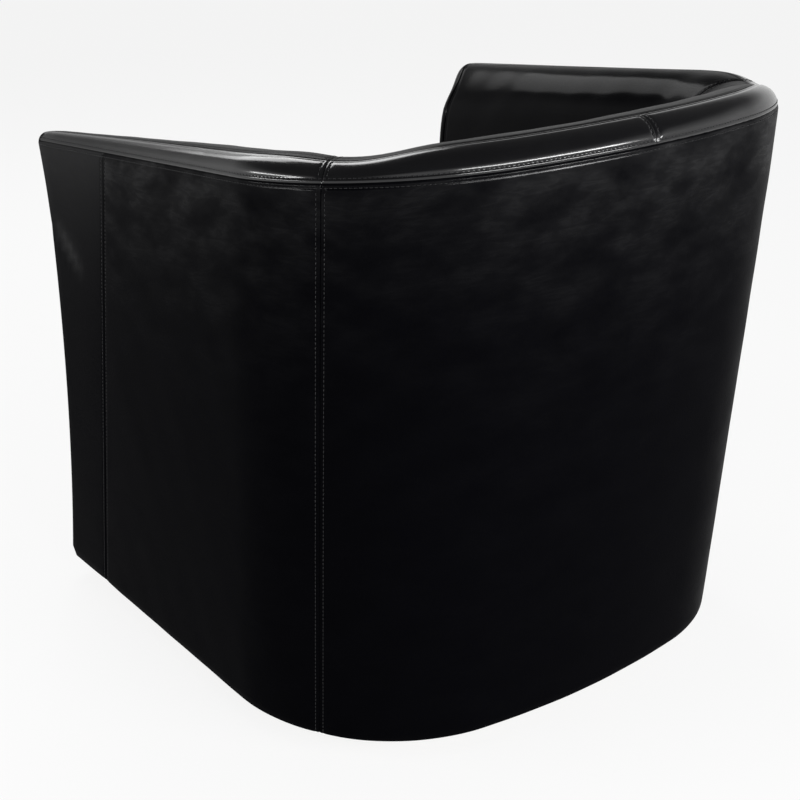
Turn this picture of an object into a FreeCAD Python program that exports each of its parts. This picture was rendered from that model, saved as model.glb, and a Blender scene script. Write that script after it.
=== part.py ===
import FreeCAD, Part
import math
import os
import Sketcher
from FreeCAD import Placement, Rotation, Vector

# Swivel club chair in millimetres: the sitter faces -Y, +Z is up, and the swivel axis meets the floor at the origin.
# Left is the sitter's left, +X. The tub wall is one upholstered section carried round a flared outline.
# Every layer of that wall is the same outline moved in by the thickness of what lies outside it.

SIZES = [
    # The outline of the tub at its lower edge.
    ("base_edge", 28, "lower edge of the upholstery above the floor"),
    ("low_half_width", 336.5, "half width at the lower edge"),
    ("low_rear", 305, "back at the lower edge, behind the swivel axis"),
    ("low_corner", 219, "corner radius at the lower edge"),
    ("low_back", 974, "radius of the back at the lower edge"),
    # The outline of the tub in the tilted plane of its rim.
    ("rim_height", 664, "rim plane above the floor at the swivel axis"),
    ("rim_tilt", 8.44, "rise of the rim plane towards the back, degrees"),
    ("side_flare", 6.8, "half width at the rim beyond that at the lower edge"),
    ("back_flare", 58.5, "back at the rim behind that at the lower edge, in the rim plane"),
    ("rim_corner", 236.5, "corner radius at the rim"),
    ("rim_back", 730, "radius of the back at the rim"),
    ("wall", 95, "thickness of the upholstered wall at the rim"),
    ("roll_outer", 26, "rounding of the rim's outer edge"),
    ("roll_inner", 50, "rounding of the rim's inner edge"),
    # The hollow that the sitter sits in, at the level of the lower edge.
    ("low_arm", 96.5, "thickness of the arms, low down"),
    ("low_back_depth", 185, "thickness of the back, low down"),
    ("hollow_corner", 140, "inner corner radius, low down"),
    ("hollow_back", 640, "radius of the inner back, low down"),
    # The front edge of the arms, an arc in side view.
    ("front_reach", 315.3, "rearmost point of the arm fronts, ahead of the axis"),
    ("front_sweep", 2050, "radius of the arm fronts in side view"),
    ("front_sweep_height", 442, "height of the rearmost point of the arm fronts"),
    # Where the leather panels meet.
    ("seam_drop", 18.7, "seam under the cap band, below the rim plane at the axis"),
    ("seam_tilt", 6.82, "rise of that seam towards the back, degrees"),
    ("cap_width", 30, "inset of the cap band's inner seam"),
    ("corner_seam", 34, "direction of the rear corner seams, degrees from +X"),
    ("facing_seam", 281, "arm facing seam ahead of the axis, at the lower edge"),
    ("facing_lean", 9, "lean of the arm facing seam, degrees"),
    ("facing_return", 25, "inner edge of the arm facing, behind the front"),
    # The layers of the wall.
    ("leather", 1.8, "thickness of the leather"),
    ("fit_gap", 0.4, "room between two layers"),
    ("outer_board", 3, "fibreboard under the outer leather"),
    ("inner_board", 3, "fibreboard under the inner foam"),
    ("wall_foam", 35, "foam on the inside of the wall"),
    ("facing_foam", 12, "foam on the arm fronts"),
    ("rim_foam", 40, "depth of the foam roll along the rim"),
    # The timber frame.
    ("top_rail", 18, "thickness of the rail under the rim"),
    ("rib", 22, "thickness of the ribs"),
    ("arm_rib", 0, "direction of the arm ribs, degrees from +X"),
    ("corner_rib", 42, "direction of the corner ribs, degrees from +X"),
    ("back_rib", 72, "direction of the back ribs, degrees from +X"),
    ("deck_height", 45, "underside of the deck above the floor"),
    ("deck", 18, "thickness of the deck"),
    ("foot_rail_width", 45, "width of the rails under the deck"),
    ("seat_height", 300, "top of the seat rails above the floor"),
    ("seat_rail_depth", 64, "height of the seat rails"),
    ("seat_rail", 25, "thickness of the seat rails"),
    ("strap_rail", 120, "front of the rear strap rail, behind the axis"),
    ("block", 60, "leg length of the corner blocks"),
    # The webbing under the cushion.
    ("strap_width", 50, "width of the webbing straps"),
    ("strap", 2, "thickness of the webbing straps"),
    ("strap_pitch", 84, "spacing of the lengthwise straps"),
    ("cross_pitch", 105, "spacing of the crosswise straps"),
    ("cross_start", -220, "middle of the foremost crosswise strap"),
    ("strap_lap", 18, "length of strap lying on a rail"),
    # The seat cushion.
    ("cushion_height", 112, "height of the cushion at its edge"),
    ("cushion_crown", 16, "rise of the cushion's top to its middle"),
    ("cushion_tuck", 15, "draw-in of the cushion's sides at top and bottom"),
    ("cushion_spread", 3, "half width of the cushion beyond that of the hollow, low down"),
    ("cushion_reach", 84, "back of the cushion behind that of the hollow, low down"),
    ("cushion_overhang", 18.7, "front of the cushion ahead of the rearmost point of the arm fronts"),
    ("cushion_nose", 40, "front corner radius of the cushion"),
    ("cushion_room", 1, "room between the cushion and the wall"),
    # The panel under the cushion.
    ("apron_setback", 8, "apron behind the arm fronts"),
    ("apron_foam", 10, "foam under the apron's leather"),
    ("apron_board", 5, "board under the apron's foam"),
    ("apron_drop", 3, "apron's upper edge below the seat rails' top"),
    # The base on the floor.
    ("glide_height", 5, "height of the floor glides"),
    ("glide_radius", 14, "radius of the floor glides"),
    ("glide_circle", 200, "distance of the floor glides from the axis"),
    ("glide_pin", 2, "radius of the glides' pins"),
    ("glide_pin_length", 12, "length of the glides' pins"),
    ("disc", 18, "thickness of the base disc"),
    ("disc_radius", 235, "radius of the base disc"),
    ("disc_bevel", 4, "bevel round the base disc's top"),
    ("centre_hole", 32, "radius of the holes round the pivot"),
    # The swivel plates and their bearing.
    ("plate", 3, "thickness of the swivel plates"),
    ("plate_half", 115, "half width of the swivel plates"),
    ("plate_corner", 18, "corner radius of the swivel plates"),
    ("bolt_spread", 92, "bolts from the plates' middle, along each side"),
    ("race_radius", 76, "radius of the ball track"),
    ("race_half", 11, "half width of the raised race"),
    ("race_gap", 4.4, "room between the two races"),
    ("ball_radius", 5.5, "radius of the balls"),
    ("ball_play", 0.15, "room round each ball"),
    ("cage", 2, "thickness of the ball cage"),
    ("cage_half", 9, "half width of the ball cage"),
    ("dust_cover", 0.6, "thickness of the dust cover"),
    # The pivot.
    ("pivot_radius", 10, "radius of the pivot's shank"),
    ("pivot_head", 18, "radius of the pivot's heads"),
    ("pivot_head_height", 4, "height of the pivot's heads"),
    ("bush", 2.5, "wall of the pivot bush"),
    ("bush_flange", 1.5, "thickness of the bush's flange"),
    ("washer", 1.5, "thickness of the pivot washer"),
    ("running", 0.1, "running clearance round the pivot"),
    # The bolts and their tee nuts.
    ("bolt_radius", 3, "radius of the bolts' shanks"),
    ("bolt_head", 6.5, "radius of the bolts' heads"),
    ("bolt_head_height", 3.5, "height of the bolts' heads"),
    ("bolt_play", 0.3, "room round the bolts"),
    ("nut_wall", 1, "wall of the tee nuts' barrels"),
    ("nut_barrel", 9, "length of the tee nuts' barrels"),
    ("nut_flange", 9.5, "radius of the tee nuts' flanges"),
    ("nut_flange_height", 1.5, "thickness of the tee nuts' flanges"),
    # The blocks that trim one layer from the next.
    ("reach", 1000, "half size of the trimming blocks"),
    ("outline_front", 420, "front end of the outlines before trimming"),
]
BALLS = 12
GLIDES = 6


class Size:
    """A length or an angle: its number, and the sheet expression that gives it."""

    def __init__(self, value, text):
        self.value = value
        self.text = text

    def join(self, other, sign, value):
        return Size(value, f"({self.text} {sign} {size(other).text})")

    def __add__(self, other):
        return self.join(other, "+", self.value + size(other).value)

    def __sub__(self, other):
        return self.join(other, "-", self.value - size(other).value)

    def __mul__(self, other):
        return self.join(other, "*", self.value * size(other).value)

    def __truediv__(self, other):
        return self.join(other, "/", self.value / size(other).value)

    def __neg__(self):
        return Size(-self.value, f"(0 - {self.text})")

    __radd__ = __add__
    __rmul__ = __mul__


def size(number):
    return number if isinstance(number, Size) else Size(float(number), str(float(number)))


def cosine(angle):
    return Size(math.cos(math.radians(size(angle).value)), f"cos({size(angle).text})")


def sine(angle):
    return Size(math.sin(math.radians(size(angle).value)), f"sin({size(angle).text})")


class Sheet:
    """The named sizes, read as attributes."""


doc = FreeCAD.newDocument("swivel_club_chair")
cells = doc.addObject("Spreadsheet::Sheet", "Sizes")
S = Sheet()
for row, (alias, number, meaning) in enumerate(SIZES, 1):
    cells.set(f"A{row}", meaning)
    cells.set(f"B{row}", str(number))
    cells.setAlias(f"B{row}", alias)
    setattr(S, alias, Size(float(number), f"Sizes.{alias}"))
doc.recompute()

ZERO = size(0)
nodes = []


def bind(thing, path, length):
    thing.setExpression(path, size(length).text)


def place(thing, x=ZERO, y=ZERO, z=ZERO, axis=None, angle=ZERO):
    rotation = Rotation(Vector(*axis), size(angle).value) if axis else Rotation()
    thing.Placement = Placement(Vector(size(x).value, size(y).value, size(z).value), rotation)
    for name, length in (("x", x), ("y", y), ("z", z)):
        bind(thing, f"Placement.Base.{name}", length)
    if axis:
        bind(thing, "Placement.Rotation.Angle", angle)


def node(thing, name):
    thing.Label = name
    nodes.append(thing)
    return thing


# Trimming blocks and booleans.

def box(name, x, y, z, axis=None, angle=ZERO):
    """A block given by its (low, high) along each of its own axes, turned about the origin."""
    thing = doc.addObject("Part::Box", name)
    for side, (low, high) in (("Length", x), ("Width", y), ("Height", z)):
        bind(thing, side, size(high) - low)
    x0, y0, z0 = size(x[0]), size(y[0]), size(z[0])
    if axis == (1, 0, 0):
        y0, z0 = y0 * cosine(angle) - z0 * sine(angle), y0 * sine(angle) + z0 * cosine(angle)
    if axis == (0, 0, 1):
        x0, y0 = x0 * cosine(angle) - y0 * sine(angle), x0 * sine(angle) + y0 * cosine(angle)
    place(thing, x0, y0, z0, axis, angle)
    return thing


def level(name, low, high):
    return box(name, (-S.reach, S.reach), (-S.reach, S.reach), (low, high))


def tilted(name, height, tilt, low, high):
    """A slab between two heights measured square to a plane tilted about X through the swivel axis."""
    thing = box(name, (-S.reach, S.reach), (-S.reach, S.reach), (low, high), (1, 0, 0), tilt)
    place(thing, -S.reach, -S.reach * cosine(tilt) - size(low) * sine(tilt),
          size(height) - S.reach * sine(tilt) + size(low) * cosine(tilt), (1, 0, 0), tilt)
    return thing


def cut(name, base, *tools):
    for index, tool in enumerate(tools):
        thing = doc.addObject("Part::Cut", name if index == len(tools) - 1 else f"{name}_trim")
        thing.Base = base
        thing.Tool = tool
        base = thing
    return base


def common(name, base, *tools):
    for index, tool in enumerate(tools):
        thing = doc.addObject("Part::Common", name if index == len(tools) - 1 else f"{name}_part")
        thing.Base = base
        thing.Tool = tool
        base = thing
    return base


def mirrored(name, source):
    thing = doc.addObject("Part::Mirroring", name)
    thing.Source = source
    thing.Normal = Vector(1, 0, 0)
    return thing


def mirror(name, source):
    return node(mirrored(name, source), name)


def group(name, members):
    thing = doc.addObject("Part::Compound", name)
    thing.Links = members
    return thing


# Sketches and bodies.

def body_of(name):
    return doc.addObject("PartDesign::Body", name)


def sketch_on(body, name, role="XY_Plane", lift=ZERO, shift=ZERO, tilt=None):
    sketch = body.newObject("Sketcher::SketchObject", name)
    plane = [feature for feature in body.Origin.OriginFeatures if feature.Role == role][0]
    sketch.AttachmentSupport = [(plane, "")]
    sketch.MapMode = "FlatFace"
    turn = Rotation(Vector(1, 0, 0), tilt.value) if tilt else Rotation()
    sketch.AttachmentOffset = Placement(Vector(0, size(shift).value, size(lift).value), turn)
    bind(sketch, "AttachmentOffset.Base.z", lift)
    bind(sketch, "AttachmentOffset.Base.y", shift)
    if tilt:
        bind(sketch, "AttachmentOffset.Rotation.Angle", tilt)
    return sketch


def dimension(sketch, kind, where, length):
    index = sketch.addConstraint(Sketcher.Constraint(kind, *where, size(length).value))
    sketch.setExpression(f"Constraints[{index}]", size(length).text)


def locate(sketch, corner, x, y):
    """Tie one end of a curve to its distances from the sketch's origin."""
    for kind, length, axis in (("DistanceX", size(x), -2), ("DistanceY", size(y), -1)):
        if abs(length.value) < 1e-9:
            sketch.addConstraint(Sketcher.Constraint("PointOnObject", *corner, axis))
        elif length.value > 0:
            dimension(sketch, kind, (-1, 1, *corner), length)
        else:
            dimension(sketch, kind, (*corner, -1, 1), -length)


def polygon(sketch, corners):
    points = [Vector(size(x).value, size(y).value, 0) for x, y in corners]
    count = len(points)
    for index in range(count):
        sketch.addGeometry(Part.LineSegment(points[index], points[(index + 1) % count]), False)
    for index in range(count):
        sketch.addConstraint(Sketcher.Constraint("Coincident", index, 2, (index + 1) % count, 1))
    for index, (x, y) in enumerate(corners):
        locate(sketch, (index, 1), x, y)


def circle(sketch, x, y, radius):
    centre = Vector(size(x).value, size(y).value, 0)
    index = sketch.addGeometry(Part.Circle(centre, Vector(0, 0, 1), size(radius).value), False)
    dimension(sketch, "Radius", (index,), radius)
    locate(sketch, (index, 3), x, y)


def outline(sketch, half_width, rear, corner, back, front, nose=None):
    """A tub outline: two straight sides, two corner arcs, one long arc across the back and a straight front."""
    a, b, r, s, f = (size(item).value for item in (half_width, rear, corner, back, front))
    turn = math.acos((a - r) / (s - r))
    middle = b - s + (s - r) * math.sin(turn)
    n = size(nose).value if nose else 0

    def arc(x, y, radius, start, end):
        sketch.addGeometry(Part.ArcOfCircle(Part.Circle(Vector(x, y, 0), Vector(0, 0, 1), radius), start, end), False)

    def line(x0, y0, x1, y1):
        sketch.addGeometry(Part.LineSegment(Vector(x0, y0, 0), Vector(x1, y1, 0)), False)

    line(a, n - f, a, middle)
    arc(a - r, middle, r, 0, turn)
    arc(0, b - s, s, turn, math.pi - turn)
    arc(r - a, middle, r, math.pi - turn, math.pi)
    line(-a, middle, -a, n - f)
    if nose:
        arc(n - a, n - f, n, math.pi, 1.5 * math.pi)
        line(n - a, -f, a - n, -f)
        arc(a - n, n - f, n, 1.5 * math.pi, 2 * math.pi)
    else:
        line(-a, -f, a, -f)
    ends = [(0, 1), (1, 2), (2, 3), (3, 4)]
    if nose:
        ends += [(4, 5), (5, 6), (6, 7), (7, 0)]
    for first, second in ends:
        sketch.addConstraint(Sketcher.Constraint("Tangent", first, 2, second, 1))
    sketch.addConstraint(Sketcher.Constraint("Vertical", 0))
    sketch.addConstraint(Sketcher.Constraint("Vertical", 4))
    sketch.addConstraint(Sketcher.Constraint("PointOnObject", 2, 3, -2))
    sketch.addConstraint(Sketcher.Constraint("Equal", 1, 3))
    if nose:
        sketch.addConstraint(Sketcher.Constraint("Symmetric", 6, 1, 6, 2, -2))
        dimension(sketch, "Radius", (5,), nose)
        dimension(sketch, "DistanceY", (6, 1, -1, 1), front)
    else:
        sketch.addConstraint(Sketcher.Constraint("Coincident", 4, 2, 5, 1))
        sketch.addConstraint(Sketcher.Constraint("Coincident", 5, 2, 0, 1))
        sketch.addConstraint(Sketcher.Constraint("Symmetric", 5, 1, 5, 2, -2))
        dimension(sketch, "DistanceY", (0, 1, -1, 1), front)
    dimension(sketch, "DistanceX", (-1, 1, 0, 1), half_width)
    dimension(sketch, "Radius", (1,), corner)
    dimension(sketch, "Radius", (2,), back)
    dimension(sketch, "DistanceY", (2, 3, -1, 1), size(back) - rear)
    return sketch


def loft(body, sketches, kind="Additive"):
    feature = body.newObject(f"PartDesign::{kind}Loft", f"{body.Name}_{kind.lower()}_loft")
    feature.Profile = sketches[0]
    feature.Sections = sketches[1:]
    feature.Ruled = True
    return feature


def pad(body, sketch, length):
    feature = body.newObject("PartDesign::Pad", f"{body.Name}_pad")
    feature.Profile = sketch
    bind(feature, "Length", length)
    return feature


def pocket(body, sketch):
    feature = body.newObject("PartDesign::Pocket", f"{body.Name}_pocket")
    feature.Profile = sketch
    feature.Type = "ThroughAll"
    feature.Midplane = True
    return feature


def revolve(body, sketch, kind="Revolution"):
    feature = body.newObject(f"PartDesign::{kind}", f"{body.Name}_turned")
    feature.Profile = sketch
    feature.ReferenceAxis = (sketch, ["V_Axis"])
    feature.Angle = 360
    return feature


def turned(name, corners):
    """A body turned about Z from a closed profile of (radius, height) corners."""
    body = body_of(name)
    sketch = sketch_on(body, f"{name}_profile", "XZ_Plane")
    polygon(sketch, corners)
    revolve(body, sketch)
    return body


def copies(name, source, places):
    """One node holding a copy of a solid at each (x, y) place."""
    links = []
    for index, (x, y) in enumerate(places):
        link = doc.addObject("App::Link", f"{name}_{index}")
        link.LinkedObject = source
        link.LinkTransform = False
        place(link, x, y, ZERO)
        links.append(link)
    return node(group(name, links), name)


# The tub's outlines and the blocks lofted between them.

def low_outline(body, name, inset, hem=ZERO):
    sketch = sketch_on(body, name, lift=S.base_edge + hem)
    return outline(sketch, S.low_half_width - inset, S.low_rear - inset, S.low_corner - inset,
                   S.low_back - inset, S.outline_front)


def rim_outline(body, name, inset, drop, front):
    sketch = sketch_on(body, name, lift=S.rim_height - drop * cosine(S.rim_tilt),
                       shift=drop * sine(S.rim_tilt), tilt=S.rim_tilt)
    return outline(sketch, S.low_half_width + S.side_flare - inset, S.low_rear + S.back_flare - inset,
                   S.rim_corner - inset, S.rim_back - inset, front)


def hollow_outline(body, name, growth, hem=ZERO):
    sketch = sketch_on(body, name, lift=S.base_edge + hem)
    return outline(sketch, hollow_half_width + growth, hollow_rear + growth, S.hollow_corner + growth,
                   S.hollow_back + growth, S.outline_front + 20)


def tub_block(name, inset):
    body = body_of(name)
    loft(body, [low_outline(body, f"{name}_low", inset), rim_outline(body, f"{name}_rim", inset, ZERO, S.outline_front)])
    return body


def hollow_block(name, growth):
    body = body_of(name)
    rim = rim_outline(body, f"{name}_rim", S.wall - growth, ZERO, S.outline_front + 20)
    loft(body, [hollow_outline(body, f"{name}_low", growth), rim])
    return body


def sweep_block(name, inset):
    """The round-fronted space ahead of the arm fronts, moved back by the inset."""
    thing = doc.addObject("Part::Cylinder", name)
    bind(thing, "Radius", S.front_sweep + inset)
    bind(thing, "Height", S.reach * 2)
    place(thing, -S.reach, -(S.front_reach + S.front_sweep), S.front_sweep_height, (0, 1, 0), size(90))
    return thing


def on_rim(shape, sketch):
    """The numbers of the edges that lie along an outline, without its straight front."""
    found = []
    for number, edge in enumerate(shape.Edges, 1):
        middle = edge.valueAt((edge.FirstParameter + edge.LastParameter) / 2)
        along = sketch.Shape.distToShape(Part.Vertex(middle))[0] < 1e-3
        if along and middle.y > -0.9 * S.outline_front.value:
            found.append(number)
    return found


def wall_block(name, inset):
    """The upholstered wall: outer loft less the hollow, its rim rounded on both edges, its arm fronts swept."""
    body = body_of(f"{name}_blank")
    rim = rim_outline(body, f"{name}_rim", inset, inset, S.outline_front)
    loft(body, [low_outline(body, f"{name}_low", inset, inset), rim])
    lip = rim_outline(body, f"{name}_lip", S.wall - inset, inset, S.outline_front + 20)
    hollow = loft(body, [hollow_outline(body, f"{name}_hollow", inset, inset), lip], "Subtractive")
    doc.recompute()
    rounded = doc.addObject("Part::Fillet", f"{name}_rounded")
    rounded.Base = body
    outer = (S.roll_outer - inset).value
    inner = (S.roll_inner - inset).value
    rounded.Edges = ([(number, outer, outer) for number in on_rim(hollow.Shape, rim)]
                     + [(number, inner, inner) for number in on_rim(hollow.Shape, lip)])
    return cut(name, rounded, sweep_block(f"{name}_front", inset))


under_leather = S.leather + S.fit_gap
under_facing = under_leather + S.facing_foam + S.fit_gap
frame_out = under_leather + S.outer_board + S.fit_gap
under_foam = under_leather + S.wall_foam + S.fit_gap
frame_in = under_foam + S.inner_board + S.fit_gap
deck_top = S.deck_height + S.deck
hollow_half_width = S.low_half_width - S.low_arm
hollow_rear = S.low_rear - S.low_back_depth
seam_height = S.rim_height - S.seam_drop
lining_low = S.seat_height + S.strap * 2 + S.fit_gap
rail_drop = S.rim_foam + S.fit_gap
foot_low = S.base_edge + under_leather

wall_face = wall_block("wall_face", ZERO)
wall_lining = wall_block("wall_lining", S.leather)
wall_fill = wall_block("wall_fill", under_leather)

# The zones that the wall's layers are parted into.

above_seam = tilted("above_seam", seam_height, S.seam_tilt, S.fit_gap / 2, S.reach)
below_seam = tilted("below_seam", seam_height, S.seam_tilt, -S.reach, -S.fit_gap / 2)
above_rail = tilted("above_rail", S.rim_height, S.rim_tilt, -S.rim_foam, S.reach)
below_rail = tilted("below_rail", S.rim_height, S.rim_tilt, -S.reach, -rail_drop)
above_seat = level("above_seat", lining_low, S.reach)
above_foot = level("above_foot", foot_low, S.reach)
left_half = box("left_half", (S.fit_gap / 2, S.reach), (-S.reach, S.reach), (ZERO, S.reach))


def side_zone(name, edge):
    """The left side of the chair ahead of the rear corner seam, ending the given distance past it."""
    return box(name, (size(-250), S.reach), (-S.reach, edge), (ZERO, S.reach), (0, 0, 1), S.corner_seam)


left_side = side_zone("left_side", -S.fit_gap / 2)
left_past = side_zone("left_past", S.fit_gap / 2)
right_past = mirrored("right_past", left_past)


def front_zone(name, edge):
    """The space ahead of the arm facing seam, ending the given distance past it."""
    thing = box(name, (-S.reach, S.reach), (-S.reach, edge), (-S.reach, S.reach), (1, 0, 0), -S.facing_lean)
    lean = S.facing_lean
    place(thing, -S.reach, -S.facing_seam - S.reach * cosine(lean) - S.reach * sine(lean),
          S.base_edge + S.reach * sine(lean) - S.reach * cosine(lean), (1, 0, 0), -lean)
    return thing


front_of_seam = front_zone("front_of_seam", ZERO)
front_past = front_zone("front_past", S.fit_gap)
inside_cap = tub_block("inside_cap", S.cap_width)
inside_cap_past = tub_block("inside_cap_past", S.cap_width + S.fit_gap)


def in_three(names, layer):
    """Part one layer of the wall at the rear corners into left, back and right nodes."""
    left, back, right = names
    node(common(left, layer, left_side), left)
    mirror(right, nodes[-1])
    node(cut(back, layer, left_past, right_past), back)


# Leather panels of the wall.

leather_skin = cut("leather_skin", wall_face, wall_lining)
outer_skin = cut("outer_skin", leather_skin, inside_cap)
inner_skin = common("inner_skin", leather_skin, inside_cap_past)

outer_panels = cut("outer_panels", common("outer_lower", outer_skin, below_seam), front_past)
in_three(("outer_cover_left", "outer_cover_back", "outer_cover_right"), outer_panels)

cap_band = common("cap_band", outer_skin, above_seam)
node(common("cap_cover_left", cap_band, left_side), "cap_cover_left")
mirror("cap_cover_right", nodes[-1])
cap_back = cut("cap_back", cap_band, left_past, right_past)
node(common("cap_cover_back_left", cap_back, left_half), "cap_cover_back_left")
mirror("cap_cover_back_right", nodes[-1])

facing_inner = cut("facing_inner", inside_cap, sweep_block("facing_edge", S.facing_return))
cap_room = cut("cap_room", tilted("cap_level", seam_height, S.seam_tilt, -S.fit_gap / 2, S.reach), inside_cap_past)
facing_ends = common("facing_ends", leather_skin, front_of_seam, left_half)
node(cut("facing_cover_left", facing_ends, facing_inner, cap_room), "facing_cover_left")
mirror("facing_cover_right", nodes[-1])

facing_past = sweep_block("facing_past", S.facing_return + S.fit_gap)
inner_panels = cut("inner_panels", common("inner_upper", inner_skin, above_seat), facing_past)
in_three(("inner_cover_left", "inner_cover_back", "inner_cover_right"), inner_panels)

# Foam and boards of the wall.

behind_facing = sweep_block("behind_facing", under_facing)
node(common("rim_foam_roll", wall_fill, above_rail), "rim_foam_roll")

foam_depth = hollow_block("foam_depth", under_leather + S.wall_foam)
foam_layer = common("foam_layer", wall_fill, foam_depth, below_rail, above_seat)
in_three(("wall_foam_left", "wall_foam_back", "wall_foam_right"), cut("foam_panels", foam_layer, behind_facing))

facing_depth = sweep_block("facing_depth", under_leather + S.facing_foam)
facing_layer = common("facing_layer", wall_fill, facing_depth, below_rail, above_foot)
node(common("facing_foam_left", facing_layer, left_half), "facing_foam_left")
mirror("facing_foam_right", nodes[-1])

outer_sheet = cut("outer_sheet", tub_block("board_face", under_leather), tub_block("board_back", under_leather + S.outer_board))
outer_layer = cut("outer_layer", common("outer_trimmed", outer_sheet, below_rail, above_foot), behind_facing)
node(outer_layer, "outer_board")

inner_sheet = cut("inner_sheet", hollow_block("lining_back", under_foam + S.inner_board), hollow_block("lining_face", under_foam))
inner_layer = cut("inner_layer", common("inner_trimmed", inner_sheet, below_rail, above_seat), behind_facing)
node(inner_layer, "inner_board")

# Timber frame of the wall: a rail under the rim on ribs that stand on the deck.

frame_tub = tub_block("frame_tub", frame_out)
frame_room = cut("frame_room", frame_tub, hollow_block("frame_hollow", frame_in), behind_facing)
rail_slab = tilted("rail_slab", S.rim_height, S.rim_tilt, -(rail_drop + S.top_rail), -rail_drop)
node(common("top_rail", frame_room, rail_slab), "top_rail")

rib_top = tilted("rib_top", S.rim_height, S.rim_tilt, -S.reach, -(rail_drop + S.top_rail))
rib_room = common("rib_room", frame_room, rib_top, level("above_deck", deck_top, S.reach))
front_rib_back = sweep_block("front_rib_back", under_facing + S.rib)
node(common("rib_front_left", rib_room, front_rib_back, left_half), "rib_front_left")
mirror("rib_front_right", nodes[-1])
for name, angle in (("arm", S.arm_rib), ("corner", S.corner_rib), ("back", S.back_rib)):
    slab = box(f"{name}_rib_slab", (ZERO, S.reach), (-S.rib / 2, S.rib / 2), (ZERO, S.reach), (0, 0, 1), angle)
    node(common(f"rib_{name}_left", rib_room, slab), f"rib_{name}_left")
    mirror(f"rib_{name}_right", nodes[-1])

# Deck, the rails under it and the dust cover.

apron_depth = S.apron_setback + under_leather + S.apron_foam + S.fit_gap + S.apron_board
behind_apron = sweep_block("behind_apron", apron_depth)
bolt_places = [(S.bolt_spread * x, S.bolt_spread * y) for x, y in ((1, 1), (-1, 1), (-1, -1), (1, -1))]


def drill(name, low, high, holes):
    """Upright drills of the given radii between two heights."""
    drills = []
    for index, (x, y, radius) in enumerate(holes):
        thing = doc.addObject("Part::Cylinder", f"{name}_{index}")
        bind(thing, "Radius", radius)
        bind(thing, "Height", size(high) - low)
        place(thing, x, y, low)
        drills.append(thing)
    return drills


nut_room = S.bolt_radius + S.ball_play + S.nut_wall + S.bolt_play
deck_holes = [(ZERO, ZERO, S.centre_hole)] + [(x, y, nut_room) for x, y in bolt_places]
deck_blank = common("deck_blank", frame_tub, level("deck_level", S.deck_height, deck_top))
deck_notch = common("deck_notch", behind_apron, hollow_block("notch_room", under_leather))
deck_drills = drill("deck_drill", ZERO, S.reach, deck_holes)
node(cut("deck_board", deck_blank, behind_facing, deck_notch, *deck_drills), "deck_board")

foot_level = level("foot_level", foot_low, S.deck_height)
foot_inner = tub_block("foot_inner", frame_out + S.foot_rail_width)
foot_ring = cut("foot_ring", common("foot_slab", frame_tub, foot_level), foot_inner, behind_facing)
node(foot_ring, "foot_rail_ring")
dust_room = tub_block("dust_room", frame_out + S.foot_rail_width + S.fit_gap)
foot_front_back = sweep_block("foot_front_back", apron_depth + S.foot_rail_width)
foot_front = common("foot_front", dust_room, foot_level, foot_front_back)
node(cut("foot_rail_front", foot_front, behind_apron), "foot_rail_front")

dust_level = level("dust_level", S.deck_height - S.dust_cover, S.deck_height)
dust_front = sweep_block("dust_front", apron_depth + S.foot_rail_width + S.fit_gap)
dust_holes = [(ZERO, ZERO, S.centre_hole)] + [(x, y, S.bolt_radius + S.bolt_play) for x, y in bolt_places]
dust_blank = common("dust_blank", dust_room, dust_level)
node(cut("dust_cover", dust_blank, dust_front, *drill("dust_drill", ZERO, S.reach, dust_holes)), "dust_cover")

# Seat rails inside the ribs, the strap rail, corner blocks and webbing.

seat_level = level("seat_level", S.seat_height - S.seat_rail_depth, S.seat_height)
rail_outer = hollow_block("rail_outer", frame_in - S.fit_gap)
rail_inner = hollow_block("rail_inner", frame_in - S.fit_gap - S.seat_rail)
front_rail_back = apron_depth + S.seat_rail - S.front_reach
front_strip = box("front_strip", (-S.reach, S.reach), (-S.reach, front_rail_back), (ZERO, S.reach))
node(cut("seat_rail_front", common("seat_front_slab", rail_outer, seat_level, front_strip), behind_apron), "seat_rail_front")
seat_ring = cut("seat_ring", common("seat_slab", rail_outer, seat_level), rail_inner, front_strip)
in_three(("seat_rail_left", "seat_rail_back", "seat_rail_right"), seat_ring)

rail_room = hollow_block("rail_room", frame_in - S.fit_gap - S.seat_rail - S.fit_gap)
strap_rail_slab = box("strap_rail_slab", (-S.reach, S.reach), (S.strap_rail, S.strap_rail + S.seat_rail),
                      (S.seat_height - S.seat_rail_depth, S.seat_height))
node(common("strap_rail", rail_room, strap_rail_slab), "strap_rail")

block_body = body_of("block_blank")
block_sketch = sketch_on(block_body, "block_profile", lift=S.seat_height - S.seat_rail_depth)
block_x = hollow_half_width + S.wall
block_y = front_rail_back
polygon(block_sketch, [(block_x - S.wall - S.block, block_y), (block_x, block_y), (block_x, block_y + S.wall + S.block)])
pad(block_body, block_sketch, S.seat_rail_depth)
block_left = common("block_left", block_body, rail_room)
block_right = mirrored("block_right", block_left)
node(group("corner_blocks", [block_left, block_right]), "corner_blocks")

strap_start = front_rail_back - S.strap_lap
strap_end = S.strap_rail + S.strap_lap
straps = []
for index in (-1.5, -0.5, 0.5, 1.5):
    middle = S.strap_pitch * index
    straps.append(box("strap_long", (middle - S.strap_width / 2, middle + S.strap_width / 2),
                      (strap_start, strap_end), (S.seat_height, S.seat_height + S.strap)))
node(group("straps_lengthwise", straps), "straps_lengthwise")

cross_room = hollow_block("cross_room", frame_in - S.fit_gap - S.seat_rail + S.strap_lap)
straps = []
for index in range(3):
    middle = S.cross_start + S.cross_pitch * index
    blank = box("strap_blank", (-S.reach, S.reach), (middle - S.strap_width / 2, middle + S.strap_width / 2),
                (S.seat_height + S.strap, S.seat_height + S.strap * 2))
    straps.append(common("strap_cross", blank, cross_room))
node(group("straps_crosswise", straps), "straps_crosswise")

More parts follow.
